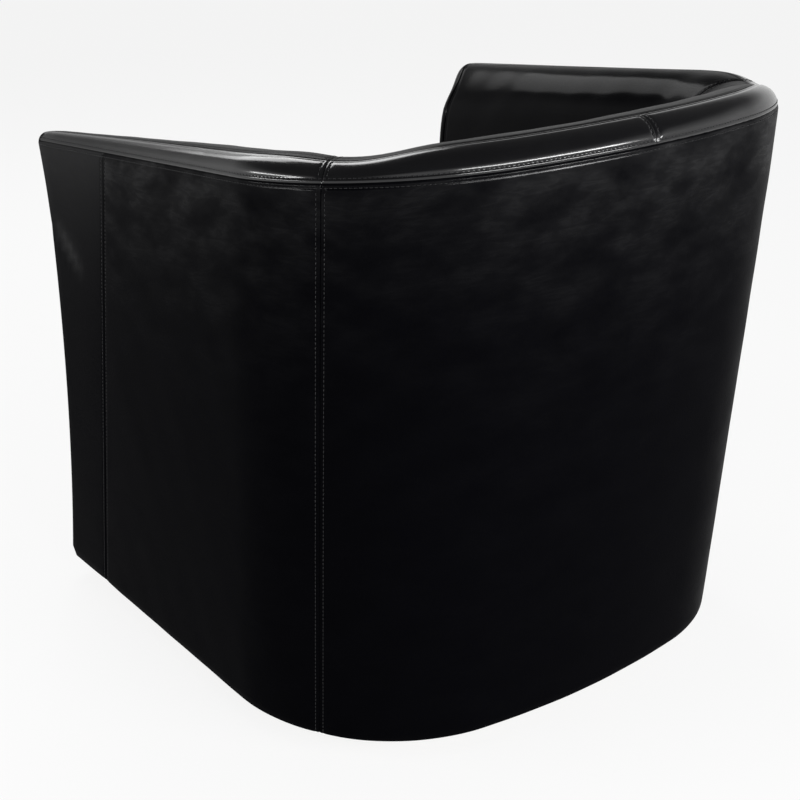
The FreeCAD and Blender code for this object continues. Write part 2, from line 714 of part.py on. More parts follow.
# Seat cushion: a crowned block with drawn-in sides, foam inside a leather cover.

cushion_low = lining_low + S.cushion_room


def cushion_block(name, inset):
    body = body_of(name)
    low = cushion_low + inset
    edge = cushion_low + S.cushion_height - inset
    rise = edge - low
    tuck = S.cushion_tuck
    levels = [(low, tuck), (low + rise * 0.14, tuck * 0.3), (low + rise * 0.42, ZERO), (low + rise * 0.72, tuck * 0.12),
              (low + rise * 0.9, tuck * 0.55), (edge, tuck * 1.6), (edge + S.cushion_crown * 0.62, tuck * 4.2),
              (edge + S.cushion_crown, tuck * 8)]
    sections = []
    for index, (height, draw) in enumerate(levels):
        sketch = sketch_on(body, f"{name}_{index}", lift=height)
        moved = draw + inset
        nose = S.cushion_nose - inset if index < 6 else S.cushion_nose * 0.6
        sections.append(outline(sketch, hollow_half_width + S.cushion_spread - moved, hollow_rear + S.cushion_reach - moved,
                                S.hollow_corner - moved * 0.6, S.hollow_back - moved,
                                S.front_reach + S.cushion_overhang - moved, nose))
    loft(body, sections)
    return body


cushion_face = common("cushion_face", cushion_block("cushion_outer", ZERO), hollow_block("cushion_limit", -S.cushion_room))
foam_limit = hollow_block("cushion_foam_limit", -(S.cushion_room + S.leather))
cushion_inner = common("cushion_inner", cushion_block("cushion_lining", S.leather), foam_limit)
node(cut("cushion_cover", cushion_face, cushion_inner), "cushion_cover")
foam_room = hollow_block("cushion_foam_room", -(S.cushion_room + under_leather))
node(common("cushion_foam", cushion_block("cushion_filling", under_leather), foam_room), "cushion_foam")

# Apron under the cushion, between the arms.

apron_room = hollow_block("apron_room", -S.fit_gap)
apron_top = S.seat_height - S.apron_drop


def apron_layer(name, start, thickness, low):
    front = sweep_block(f"{name}_face", start)
    back = sweep_block(f"{name}_back", start + thickness)
    slab = common(f"{name}_slab", apron_room, back, level(f"{name}_level", low, apron_top))
    return node(cut(name, slab, front), name)


apron_layer("apron_cover", S.apron_setback, S.leather, S.base_edge)
apron_layer("apron_foam", S.apron_setback + under_leather, S.apron_foam, foot_low)
apron_layer("apron_board", apron_depth - S.apron_board, S.apron_board, foot_low)

# Base: a disc on glides.

disc_top = S.glide_height + S.disc
body = body_of("base_disc")
sketch = sketch_on(body, "disc_profile", "XZ_Plane")
polygon(sketch, [(S.centre_hole, S.glide_height), (S.disc_radius, S.glide_height), (S.disc_radius, disc_top - S.disc_bevel),
                 (S.disc_radius - S.disc_bevel, disc_top), (S.centre_hole, disc_top)])
revolve(body, sketch)
sketch = sketch_on(body, "disc_holes", lift=disc_top)
for x, y in bolt_places:
    circle(sketch, x, y, nut_room)
glide_places = [(S.glide_circle * math.cos(math.pi * (2 * index + 1) / GLIDES),
                 S.glide_circle * math.sin(math.pi * (2 * index + 1) / GLIDES)) for index in range(GLIDES)]
for x, y in glide_places:
    circle(sketch, x, y, S.glide_pin + S.bolt_play / 2)
pocket(body, sketch)
node(body, "base_disc")

glide = turned("glide_blank", [(ZERO, ZERO), (S.glide_radius - 2, ZERO), (S.glide_radius, S.glide_height * 0.4),
                               (S.glide_radius, S.glide_height), (S.glide_pin, S.glide_height),
                               (S.glide_pin, S.glide_height + S.glide_pin_length),
                               (ZERO, S.glide_height + S.glide_pin_length)])
copies("floor_glides", glide, glide_places)

# Swivel plates, with a ball track between two raised races.

plate_top = S.deck_height - S.dust_cover
ball_height = (disc_top + plate_top) / 2
track = S.ball_radius + S.ball_play


def swivel_plate(name, low, race_from, race_to, bore):
    body = body_of(name)
    sketch = sketch_on(body, f"{name}_outline", lift=low)
    half = S.plate_half
    polygon(sketch, [(half, -half), (half, half), (-half, half), (-half, -half)])
    plate = pad(body, sketch, S.plate)
    doc.recompute()
    upright = [f"Edge{number}" for number, edge in enumerate(plate.Shape.Edges, 1)
               if abs(edge.Vertexes[0].Z - edge.Vertexes[-1].Z) > 1]
    corners = body.newObject("PartDesign::Fillet", f"{name}_corners")
    corners.Base = (plate, upright)
    bind(corners, "Radius", S.plate_corner)
    sketch = sketch_on(body, f"{name}_race", "XZ_Plane")
    inner, outer = S.race_radius - S.race_half, S.race_radius + S.race_half
    polygon(sketch, [(inner, race_from), (outer, race_from), (outer, race_to), (inner, race_to)])
    revolve(body, sketch)
    sketch = sketch_on(body, f"{name}_track", "XZ_Plane")
    circle(sketch, S.race_radius, ball_height, track)
    revolve(body, sketch, "Groove")
    sketch = sketch_on(body, f"{name}_holes", lift=low)
    circle(sketch, ZERO, ZERO, bore)
    for x, y in bolt_places:
        circle(sketch, x, y, S.bolt_radius + S.bolt_play)
    pocket(body, sketch)
    return node(body, name)


bush_radius = S.pivot_radius + S.running + S.bush
lower_face, upper_face = disc_top + S.plate, plate_top - S.plate
swivel_plate("swivel_plate_lower", disc_top, lower_face - 1, ball_height - S.race_gap / 2, S.pivot_radius + S.running / 2)
swivel_plate("swivel_plate_upper", upper_face, ball_height + S.race_gap / 2, upper_face + 1, bush_radius + S.running)

ball_places = [(S.race_radius * math.cos(2 * math.pi * (index + 0.5) / BALLS),
                S.race_radius * math.sin(2 * math.pi * (index + 0.5) / BALLS)) for index in range(BALLS)]
balls = []
for x, y in ball_places:
    ball = doc.addObject("Part::Sphere", "ball")
    bind(ball, "Radius", S.ball_radius)
    place(ball, x, y, ball_height)
    balls.append(ball)
node(group("bearing_balls", balls), "bearing_balls")

body = body_of("ball_cage")
sketch = sketch_on(body, "cage_outline", lift=ball_height - S.cage / 2)
circle(sketch, ZERO, ZERO, S.race_radius + S.cage_half)
circle(sketch, ZERO, ZERO, S.race_radius - S.cage_half)
for x, y in ball_places:
    circle(sketch, x, y, track)
pad(body, sketch, S.cage)
node(body, "ball_cage")

# Pivot: a headed shank through both plates, with a flanged bush and a washer above the upper plate.

washer_low = plate_top + S.bush_flange
head_low = washer_low + S.washer + S.running
node(turned("pivot", [(ZERO, disc_top - S.pivot_head_height), (S.pivot_head, disc_top - S.pivot_head_height), (S.pivot_head, disc_top),
                      (S.pivot_radius, disc_top), (S.pivot_radius, head_low), (S.pivot_head, head_low),
                      (S.pivot_head, head_low + S.pivot_head_height), (ZERO, head_low + S.pivot_head_height)]), "pivot")
bore = S.pivot_radius + S.running
node(turned("pivot_bush", [(bore, upper_face), (bush_radius, upper_face), (bush_radius, plate_top), (S.pivot_head - 1, plate_top),
                           (S.pivot_head - 1, washer_low), (bore, washer_low)]), "pivot_bush")
node(turned("pivot_washer", [(bore, washer_low), (S.pivot_head, washer_low), (S.pivot_head, washer_low + S.washer),
                             (bore, washer_low + S.washer)]), "pivot_washer")


# Bolts through the plates, and the tee nuts that they screw into.

def bolt(name, head_face, tip, out):
    """A pan-headed bolt standing on its head's face; out is the head's direction."""
    head = head_face + S.bolt_head_height * out
    return turned(name, [(ZERO, head), (S.bolt_head - 1, head), (S.bolt_head, head - S.bolt_head_height * 0.4 * out),
                         (S.bolt_head, head_face), (S.bolt_radius, head_face), (S.bolt_radius, tip), (ZERO, tip)])


def tee_nut(name, face, out):
    """A flanged barrel let into a board from the face; out is the flange's direction."""
    inner = S.bolt_radius + S.ball_play
    barrel = inner + S.nut_wall
    flange = face + S.nut_flange_height * out
    return turned(name, [(inner, flange), (S.nut_flange, flange), (S.nut_flange, face), (barrel, face),
                         (barrel, face - S.nut_barrel * out), (inner, face - S.nut_barrel * out)])


copies("lower_plate_bolts", bolt("lower_bolt", lower_face, S.glide_height, 1), bolt_places)
copies("lower_tee_nuts", tee_nut("lower_nut", S.glide_height, -1), bolt_places)
copies("upper_plate_bolts", bolt("upper_bolt", upper_face, deck_top, -1), bolt_places)
copies("upper_tee_nuts", tee_nut("upper_nut", deck_top, 1), bolt_places)

doc.recompute()

# Every object must have built, and every piece is checked and written out.

for thing in doc.Objects:
    if "Invalid" in thing.State or "Error" in thing.State:
        raise SystemExit(f"{thing.Label} did not build: {thing.State}")
os.makedirs("parts", exist_ok=True)
for thing in nodes:
    shape = thing.Shape
    if shape.isNull() or not shape.isValid() or not shape.Solids:
        raise SystemExit(f"{thing.Label} has no valid solid")
    shape.exportStep(os.path.join("parts", f"{thing.Label}.step"))
    print(thing.Label, len(shape.Solids), round(shape.Volume / 1000, 2))
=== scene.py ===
import math
import bmesh
import bpy
import numpy as np
from mathutils import Matrix


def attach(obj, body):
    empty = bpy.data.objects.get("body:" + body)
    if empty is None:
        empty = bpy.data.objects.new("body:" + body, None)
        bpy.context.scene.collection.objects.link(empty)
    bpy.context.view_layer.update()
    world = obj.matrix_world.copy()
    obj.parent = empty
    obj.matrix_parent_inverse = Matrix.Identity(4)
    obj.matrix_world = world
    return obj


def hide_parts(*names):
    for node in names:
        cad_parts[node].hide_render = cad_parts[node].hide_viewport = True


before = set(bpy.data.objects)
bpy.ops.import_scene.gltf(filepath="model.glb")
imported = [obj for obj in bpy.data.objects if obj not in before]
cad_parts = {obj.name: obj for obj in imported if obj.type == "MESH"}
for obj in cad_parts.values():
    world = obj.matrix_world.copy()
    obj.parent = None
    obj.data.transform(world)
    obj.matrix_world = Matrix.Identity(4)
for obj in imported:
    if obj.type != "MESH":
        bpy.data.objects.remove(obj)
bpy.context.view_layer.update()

scene = bpy.context.scene
hands = (("left", False), ("right", True))
ahead = np.array([0.0, -1.0, 0.0])
print("frame:", len(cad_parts), "nodes")

# Tub of the chair, metres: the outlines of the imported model, with a softer wall
tub = {
    "lowEdge": 0.028,
    "low": (0.3365, 0.305, 0.219, 0.974),  # half width, rear, corner radius, back radius
    "rim": (0.3433, 0.3635, 0.2365, 0.730),  # the same in the tilted rim plane
    "hollow": (0.240, 0.120, 0.140, 0.640),  # inside, at the lower edge
    "rimHeight": 0.664, "rimTilt": 8.44,
    "ahead": 0.42, "bends": (0.52, 0.84),  # outline's front end, ends of side and corner
    "wall": (0.083, 0.089), "rollOuter": (0.013, 0.026), "rollInner": (0.068, 0.060),  # at the arm fronts, elsewhere
    "frontFade": (0.12, 0.45),  # where the first of these passes into the second
    "ease": (0.009, 0.060, 0.045, 0.02),  # inner roll drawn outwards at the arm fronts: amount, place, width, start
    "easeFade": (0.10, 0.34),
    "dip": (0.008, 0.665, 0.062),  # rim drawn down at the rear seams: depth, place, width
    "frontReach": 0.3185, "frontSweep": 2.05, "frontHeight": 0.442, "lowRound": 0.010,
    "flare": (0.0125, 0.49, 0.125, 1.2),  # arm fronts towards the ridge: amount, start, height, limit
    "slant": (0.337, 0.060, 1.6),  # flare turned back on the inside: edge, width, share
    "edgeRound": (0.008, 0.013, 0.022),  # rounding of the arm fronts: outside, ridge, inside
    "roundReach": 0.06,
    "seamHeight": 0.6453, "seamTilt": 6.82,
    "capWidth": (0.021, 0.031), "capFade": (0.5, 0.78),  # cap on the arms, on the back
    "ridge": 0.012,  # ridge of the arm's end, past the cap's inner seam
    "cornerSeam": (31.8, 35.9), "cornerRise": 0.66,  # direction of the rear seams, low and high
    "facingSeam": 0.261, "facingLean": 9.5,
    "seatLine": 0.3070, "tuck": 0.3059, "innerLow": 0.002,
}


def unit(v):
    # a vector over its length
    return v / np.maximum(np.linalg.norm(v, axis=-1, keepdims=True), 1e-12)


def dot(a, b):
    # sum of the products of two vectors' parts
    return (a * b).sum(-1)


def bell(away, wide):
    # exponential of the squared distance, measured in widths
    return np.exp(-(away / wide) ** 2)


def eased(t):
    # smooth step: three times the square less twice the cube
    return t * t * (3 - 2 * t)


def outline(shape, p):
    # half outline: straight side, corner arc, back arc, each run through evenly by its share of p
    a, b, r, s = shape
    turn = np.arccos((a - r) / (s - r))
    middle = b - s + (s - r) * np.sin(turn)
    first, second = tub["bends"]
    side = -tub["ahead"] + np.clip(p / first, 0, 1) * (middle + tub["ahead"])
    corner = np.clip((p - first) / (second - first), 0, 1) * turn
    back = turn + np.clip((p - second) / (1 - second), 0, 1) * (math.pi / 2 - turn)
    x = np.where(p < first, a, np.where(p < second, a - r + r * np.cos(corner), s * np.cos(back)))
    y = np.where(p < first, side, np.where(p < second, middle + r * np.sin(corner), b - s + s * np.sin(back)))
    return x, y


def halfShare(sigma):
    # place along one half of the chair, 0 at the arm front and 1 at mid back
    return 1 - np.abs(1 - sigma)


def wallFrame(sigma):
    # section of the wall at sigma (0 left front, 1 mid back, 2 right front): a line up the outside,
    # an arc over the outer edge, a flat top, an arc over the inner edge and a line down the inside
    p = halfShare(sigma)
    hand = np.where(sigma <= 1, 1.0, -1.0)
    tilt = math.radians(tub["rimTilt"])

    def level(shape):
        x, y = outline(shape, p)
        return np.stack([hand * x, y, np.full_like(y, tub["lowEdge"])], -1)

    def raised(inset):
        x, y = outline(tuple(v - inset for v in tub["rim"]), p)
        deep, place, wide = tub["dip"]
        drawn = deep * bell(p - place, wide)
        return np.stack([hand * x, y * math.cos(tilt), tub["rimHeight"] + y * math.sin(tilt) - drawn], -1)

    atFront = lambda name: np.interp(p, tub["frontFade"], tub[name])
    low, rim, lip, foot = level(tub["low"]), raised(0.0), raised(atFront("wall")), level(tub["hollow"])
    f = {"rim": rim, "lip": lip, "down": unit(low - rim), "across": unit(lip - rim), "inside": unit(foot - lip)}
    f["half1"] = 0.5 * np.arccos(dot(f["down"], f["across"]))
    f["half2"] = 0.5 * np.arccos(dot(-f["across"], f["inside"]))
    f["r1"], f["r2"] = atFront("rollOuter"), atFront("rollInner")
    f["t1"], f["t2"] = f["r1"] / np.tan(f["half1"]), f["r2"] / np.tan(f["half2"])
    f["len1"], f["len2"] = f["r1"] * (math.pi - 2 * f["half1"]), f["r2"] * (math.pi - 2 * f["half2"])
    f["flat"] = np.linalg.norm(lip - rim, axis=-1) - f["t1"] - f["t2"]
    f["bottom"] = f["t1"] - np.linalg.norm(low - rim, axis=-1)
    f["capInner"] = f["len1"] - f["t1"] + np.interp(p, tub["capFade"], tub["capWidth"])
    f["apex"] = f["capInner"] + tub["ridge"]
    f["innerTop"] = f["len1"] + f["flat"] + f["len2"]
    innerZ = lip[..., 2] + f["inside"][..., 2] * f["t2"]
    f["seat"] = f["innerTop"] + (innerZ - tub["seatLine"]) / -f["inside"][..., 2]
    f["innerBottom"] = f["innerTop"] + (innerZ - tub["lowEdge"] - tub["innerLow"]) / -f["inside"][..., 2]
    return f


def section(sigma, q):
    # point and outward normal at distance q along the section, q = 0 where the outer arc begins
    sigma, q = np.broadcast_arrays(np.asarray(sigma, float), np.asarray(q, float))
    f = wallFrame(sigma)
    col = lambda name: f[name][..., None]
    r1, r2, s = col("r1"), col("r2"), q[..., None]
    c1 = f["rim"] + unit(f["down"] + f["across"]) * (r1 / np.sin(col("half1")))
    c2 = f["lip"] + unit(f["inside"] - f["across"]) * (r2 / np.sin(col("half2")))
    out1 = (f["rim"] + f["down"] * col("t1") - c1) / r1
    out2 = (f["lip"] - f["across"] * col("t2") - c2) / r2
    a1 = np.clip(s / r1, 0, math.pi - 2 * col("half1"))
    past = s - col("len1") - col("flat")
    a2 = np.clip(past / r2, 0, math.pi - 2 * col("half2"))
    n1 = out1 * np.cos(a1) - f["down"] * np.sin(a1)
    n2 = out2 * np.cos(a2) + f["across"] * np.sin(a2)
    spots = [f["rim"] + f["down"] * (col("t1") - s), c1 + r1 * n1,
             f["rim"] + f["across"] * (col("t1") + s - col("len1")), c2 + r2 * n2,
             f["lip"] + f["inside"] * (col("t2") + past - col("len2"))]
    tests = [s < 0, s < col("len1"), past < 0, past < col("len2")]
    spot = spots[-1]
    for test, earlier in zip(tests[::-1], spots[-2::-1]):
        spot = np.where(test, earlier, spot)
    amount, place, wide, start = tub["ease"]
    fade = np.interp(halfShare(sigma), tub["easeFade"], (1, 0))[..., None]
    spot = spot - f["across"] * amount * fade * bell(past - place, wide) * np.clip(past / start + 1, 0, 1)
    return spot, unit(np.where(s < col("len1") + 0.5 * col("flat"), n1, n2))


def bisect(gap, low, high, steps=36):
    # root of a rising function of whole arrays, by halving
    for _ in range(steps):
        middle = 0.5 * (low + high)
        below = gap(middle) < 0
        low, high = np.where(below, middle, low), np.where(below, high, middle)
    return 0.5 * (low + high)


def capSeamGap(sigma, q):
    # height over the cap seam's plane, which rises to the back
    spot = section(sigma, q)[0]
    return spot[..., 2] - tub["seamHeight"] - spot[..., 1] * math.tan(math.radians(tub["seamTilt"]))


tableP = np.linspace(0, 1, 1501)
tableSeam = bisect(lambda q: capSeamGap(tableP, q), wallFrame(tableP)["bottom"], wallFrame(tableP)["apex"])
seamQ = lambda sigma: np.interp(halfShare(sigma), tableP, tableSeam)
atMark = lambda name: (lambda sigma: wallFrame(np.asarray(sigma, float))[name])
bottomQ, capInnerQ, apexQ, seatQ, innerBottomQ = map(atMark, ("bottom", "capInner", "apex", "seat", "innerBottom"))


def frontY(z, back=0.0, x=None):
    # arm fronts in side view: an arc of large radius about a line far ahead of the chair, with a flare
    # towards the ridge that turns back on the inside, and a small quarter circle at the lower corner
    far = tub["frontReach"] + tub["frontSweep"]
    amount, start, tall, most = tub["flare"]
    flare = amount * np.clip((z - start) / tall, 0, most) ** 2
    if x is not None:
        edge, wide, turn = tub["slant"]
        flare = flare * (1 - turn * eased(np.clip((edge - np.abs(x)) / wide, 0, 1)))
    r = tub["lowRound"]
    left = np.clip(r + tub["lowEdge"] - z, 0, r)
    corner = r - np.sqrt(r * r - left * left)
    return -far + np.sqrt((tub["frontSweep"] + back) ** 2 - (z - tub["frontHeight"]) ** 2) - flare + corner


def roundAt(sigma, q):
    # rounding of the arm fronts: small outside, growing over the ridge and down the inside
    first, ridge, last = tub["edgeRound"]
    over = np.clip((q - seamQ(sigma)) / (apexQ(sigma) - seamQ(sigma)), 0, 1)
    inside = np.clip((q - apexQ(sigma)) / tub["roundReach"], 0, 1)
    return first + (ridge - first) * over + (last - ridge) * eased(inside)


def frontGap(part):
    # distance behind the arm front, less a part of its rounding
    return lambda spot, sigma, q: spot[..., 1] - frontY(spot[..., 2], x=spot[..., 0]) - part * roundAt(sigma, q)


def facingGap(spot, *_):
    # distance behind the facing seam, a line that leans back
    lean = math.tan(math.radians(tub["facingLean"]))
    return spot[..., 1] + tub["facingSeam"] - (spot[..., 2] - tub["lowEdge"]) * lean


def cornerGap(spot, *_):
    # angle past the rear seam, whose direction turns evenly with height
    low, high = np.radians(tub["cornerSeam"])
    turned = low + (high - low) * (spot[..., 2] - tub["lowEdge"]) / tub["cornerRise"]
    return np.arctan2(spot[..., 1], spot[..., 0]) - turned


def across(gap, runQ, low, high):
    # sigma at which the run of points q = runQ(sigma) crosses a cut
    return bisect(lambda s: gap(section(s, runQ(s))[0], s, runQ(s)), low, high)


# Seams: a groove, a shallow channel under each stitch row, and leather that swells between
seam = {"groove": 0.0010, "grooveWidth": 0.0012, "row": 0.0046, "channel": 0.0006, "channelWidth": 0.0013,
        "swell": 0.0013, "swellReach": 0.028, "slackReach": 0.03, "merge": 0.00015,
        "steps": (0, 0.6, 1.2, 1.9, 2.7, 3.4, 4.1, 4.7, 5.4, 6.3, 7.8, 10.5, 14, 19, 26),  # rows near a seam, mm
        "waves": ((41, 17, 0.7, 1.0), (-23, 67, 2.1, 1.0), (95, 58, 4.0, 0.7))}   # across, along, start, share


def crowded(length, step, ends=(True, True)):
    # shares from 0 to 1 along a length: close together by a seam, then even steps
    near = np.array(seam["steps"]) / 1000
    near = near[near < 0.4 * length]
    first = near if ends[0] else near[:1]
    last = length - (near if ends[1] else near[:1])[::-1]
    count = max(2, int(round((last[0] - first[-1]) / step)))
    return np.concatenate([first, np.linspace(first[-1], last[0], count + 1)[1:-1], last]) / length


def seamShape(d, stitched=True):
    # height over the plain surface at distance d from a seam: two sunk bells and a slow rise
    groove = seam["groove"] * bell(d, seam["grooveWidth"])
    channel = seam["channel"] * bell(d - seam["row"], seam["channelWidth"]) * stitched
    return seam["swell"] * (1 - np.exp(-d / seam["swellReach"])) - groove - channel


def slack(u, v, d, amount):
    # slow unevenness of stretched leather: three long crossed sine waves, fading towards the seams
    wave = sum(share * np.sin(a * u + b * v + start) for a, b, start, share in seam["waves"])
    return amount * wave * (1 - np.exp(-d / seam["slackReach"]))


def run(points, axis):
    # length along a grid's rows or columns from its first line
    steps = np.linalg.norm(np.diff(points, axis=axis), axis=-1)
    pad = [(0, 0), (0, 0)]
    pad[axis] = (1, 0)
    return np.cumsum(np.pad(steps, pad), axis=axis)


def slopes(points, outward):
    # unit normals of a grid from its two difference directions, turned to the outward side
    n = unit(np.cross(np.gradient(points, axis=1), np.gradient(points, axis=0)))
    side = np.sign(dot(n, outward).sum()) or 1.0
    return n * side


def quads(rows, cols):
    # four neighbouring numbers of a grid for each face
    k = np.arange(rows * cols).reshape(rows, cols)
    return np.stack([k[:-1, :-1], k[:-1, 1:], k[1:, 1:], k[1:, :-1]], -1).reshape(-1, 4)


def setUv(mesh, uv):
    # each point's place on the hide, given to all face corners that meet there
    corner = np.empty(len(mesh.loops), dtype=np.int32)
    mesh.loops.foreach_get("vertex_index", corner)
    mesh.uv_layers.new(name="hide").data.foreach_set("uv", uv[corner].astype(np.float32).ravel())


def setMark(mesh, name, values):
    mesh.attributes.new(name, "FLOAT", "POINT").data.foreach_set("value", values.astype(np.float32))


def setSmooth(mesh):
    mesh.polygons.foreach_set("use_smooth", np.ones(len(mesh.polygons), dtype=bool))
    mesh.update()


def linked(name, mesh):
    piece = bpy.data.objects.new(name, mesh)
    scene.collection.objects.link(piece)
    return piece


def meshOf(name, verts, faces, uv=None, marks=None, merge=0.0):
    mesh = bpy.data.meshes.new(name)
    mesh.from_pydata(verts.tolist(), [], faces.tolist())
    if uv is not None:
        setUv(mesh, uv)
    for key, values in (marks or {}).items():
        setMark(mesh, key, values)
    if merge:
        bm = bmesh.new()
        bm.from_mesh(mesh)
        bmesh.ops.remove_doubles(bm, verts=bm.verts, dist=merge)
        bm.to_mesh(mesh)
        bm.free()
    setSmooth(mesh)
    return linked(name, mesh)


def sewn(name, grids, mirror=False, thick=0.0016):
    # one piece from grids of (points, outward, uv, seam gap, polish): faces outwards, then its thickness
    faces, start = [], 0
    for points, outward, *_ in grids:
        index, flat = quads(*points.shape[:2]), points.reshape(-1, 3)
        a, b, c, e = (flat[index[:, k]] for k in range(4))
        if dot(np.cross(c - a, e - b), outward.reshape(-1, 3)[index[:, 0]]).sum() < 0:
            index = index[:, ::-1]
        faces.append(index + start)
        start += len(flat)
    joined = lambda k, width: np.concatenate([grid[k].reshape(-1, width) for grid in grids])
    verts, faces = joined(0, 3), np.concatenate(faces)
    if mirror:
        verts, faces = verts * (-1, 1, 1), faces[:, ::-1]
    marks = {"seamGap": joined(3, 1).ravel(), "polish": joined(4, 1).ravel()}
    piece = meshOf(name, verts, faces, joined(2, 2), marks, seam["merge"])
    solid = piece.modifiers.new("leather", "SOLIDIFY")
    solid.thickness, solid.offset = thick, -1
    return piece


# Edges of the panels: rows that run in under the chair, and rows that turn in under the cushion
hemRows = {"inward": (0.020, 0.006, 0.0022, 0.0006), "drop": (0.0004, -0.0006, -0.0009, -0.0006),
           "along": (0.022, 0.008, 0.004, 0.001)}
tuckRows = {"inward": (0.0012, 0.005, 0.014, 0.026), "along": (0.001, 0.005, 0.014, 0.026)}


def hem(points, normals, uv, d, polish):
    # rows before a lower edge: its points moved in level with the floor and down a little
    level = unit(normals[0] * (1, 1, 0))
    under = np.stack([points[0] - level * inward + np.array([0, 0, drop])
                      for inward, drop in zip(hemRows["inward"], hemRows["drop"])])
    low = np.stack([uv[0] - np.array([0, along]) for along in hemRows["along"]])
    longer = lambda grid: np.concatenate([np.repeat(grid[:1], len(under), 0), grid])
    return np.concatenate([under, points]), longer(normals), np.concatenate([low, uv]), longer(d), longer(polish)


def tuck(points, normals, uv, d, polish):
    # rows after the inner leather's lower edge: its points moved towards the seat at one height
    level = unit(normals[-1] * (1, 1, 0))
    height = np.full((points.shape[1], 1), tub["tuck"])
    moved = [(points[-1] + level * inward)[:, :2] for inward in tuckRows["inward"]]
    rows = np.stack([np.concatenate([row, height], -1) for row in moved])
    further = uv[-1] + np.array(tuckRows["along"])[:, None, None] * (0, 1)
    longer = lambda grid: np.concatenate([grid, np.repeat(grid[-1:], len(rows), 0)])
    return np.concatenate([points, rows]), longer(normals), np.concatenate([uv, further]), longer(d), longer(polish)


# Polish of the leather: full on the cap of the back, dying out below the cap seam, slight inside; it sets the glaze
# and how far crease ridges are lightened in the base colour, a painted highlight
shine = {"reach": 0.075, "cap": ((0.2, 0.55), (0.4, 1.0)), "below": 0.55, "corners": ((0.10, 0.26), (1.0, 0.4)),
         "beside": 0.25, "inside": (0.05, 0.10), "insideReach": 0.12, "seat": 0.3, "apron": 0.22}


def shineOf(kind, sigma, alongV):
    # by kind: a share of the place along the wall, or an exponential of the distance from the cap
    if kind == "cap":
        return np.interp(halfShare(sigma), *shine["cap"])
    if kind == "inside":
        return shine["inside"][0] + shine["inside"][1] * np.exp(-alongV / shine["insideReach"])
    falling = shine[kind] * np.exp(-(alongV[-1:] - alongV) / shine["reach"])
    return falling * np.interp(np.abs(1 - sigma), *shine["corners"]) if kind == "below" else falling


def patch(lowAt, highAt, startGap, endGap, lengths, steps, sides, extra=None, amount=0.00012, under=False, kind="cap"):
    # a panel between two runs and two cuts: shares u and r of the way across and up, lifted by its seams
    u, r = crowded(lengths[0], steps[0], sides[:2]), crowded(lengths[1], steps[1], sides[2:])
    runAt = lambda s: lowAt(s) + r * (highAt(s) - lowAt(s))
    start = across(startGap, runAt, 0.0, 0.9)
    if callable(endGap):
        end = across(endGap, runAt, 0.2, 1.0)
    else:
        end = 2 - start if endGap == "mirror" else np.full_like(r, endGap)
    sigma = start[:, None] + (end - start)[:, None] * u[None, :]
    q = lowAt(sigma) + r[:, None] * (highAt(sigma) - lowAt(sigma))
    points, outward = section(sigma, q)
    alongU, alongV = run(points, 1), run(points, 0)
    edges = alongU, alongU[:, -1:] - alongU, alongV, alongV[-1:] - alongV
    gaps = [gap for gap, used in zip(edges, sides) if used]
    d = np.minimum.reduce(gaps)
    lift = seamShape(d) + slack(alongU, alongV, d, amount)
    if extra:
        lift = lift + extra(alongU, alongV, d, gaps)
    points = points + outward * lift[..., None]
    grid = points, outward, np.stack([alongU, q], -1), d, shineOf(kind, sigma, alongV)
    return hem(*grid) if under else tuck(*grid) if kind == "inside" else grid


# Leather of the tub, one piece for each panel
pieces = {}
pucker = {"depth": 0.00022, "reach": 0.012, "pitch": 0.017, "stray": (3, 23),
          "full": 0.0008, "fullReach": (0.10, 0.07)}
panel = {"outer": (True, True, False, True), "cap": (True, True, True, True), "inner": (True, True, True, False),
         "outerSteps": (0.007, 0.009), "capSteps": (0.005, 0.003), "innerSteps": (0.009, 0.009), "innerSlack": 0.0003}


def puckers(u, v, d, gaps):
    # short creases that run down from the cap seam and die out: a sine along the seam under a bell
    most, often = pucker["stray"]
    wave = np.sin(u * 2 * math.pi / pucker["pitch"] + most * np.sin(u * often))
    rise, spread = pucker["fullReach"]
    return (pucker["depth"] * bell(gaps[-1], pucker["reach"]) * wave
            + pucker["full"] * (1 - np.exp(-v / rise)) * (1 - np.exp(-d / spread)))


def outerPatch(start, end, lengths, kind):
    return [patch(bottomQ, seamQ, start, end, lengths, panel["outerSteps"], panel["outer"], puckers,
                  under=True, kind=kind)]


def capPatch(start, end, length):
    return [patch(seamQ, capInnerQ, start, end, (length, 0.045), panel["capSteps"], panel["cap"])]


def innerPatch(start, end, lengths):
    return [patch(capInnerQ, seatQ, start, end, lengths, panel["innerSteps"], panel["inner"],
                  amount=panel["innerSlack"], kind="inside")]


for hand, mirror in hands:
    arm = outerPatch(facingGap, cornerGap, (0.47, 0.60), "beside")
    pieces["outer_" + hand] = sewn(f"outer_{hand}_leather", arm, mirror)
pieces["outerBack"] = sewn("outer_back_leather", outerPatch(cornerGap, "mirror", (0.70, 0.65), "below"))
for hand, mirror in hands:
    pieces["cap_" + hand] = sewn(f"cap_{hand}_leather", capPatch(frontGap(1.0), cornerGap, 0.52), mirror)
    pieces["capBack_" + hand] = sewn(f"cap_back_{hand}_leather", capPatch(cornerGap, 1.0, 0.36), mirror)
    pieces["inner_" + hand] = sewn(f"inner_{hand}_leather", innerPatch(frontGap(1.0), cornerGap, (0.45, 0.40)), mirror)
pieces["innerBack"] = sewn("inner_back_leather", innerPatch(cornerGap, "mirror", (0.45, 0.42)))
print("tub panels:", len(pieces))

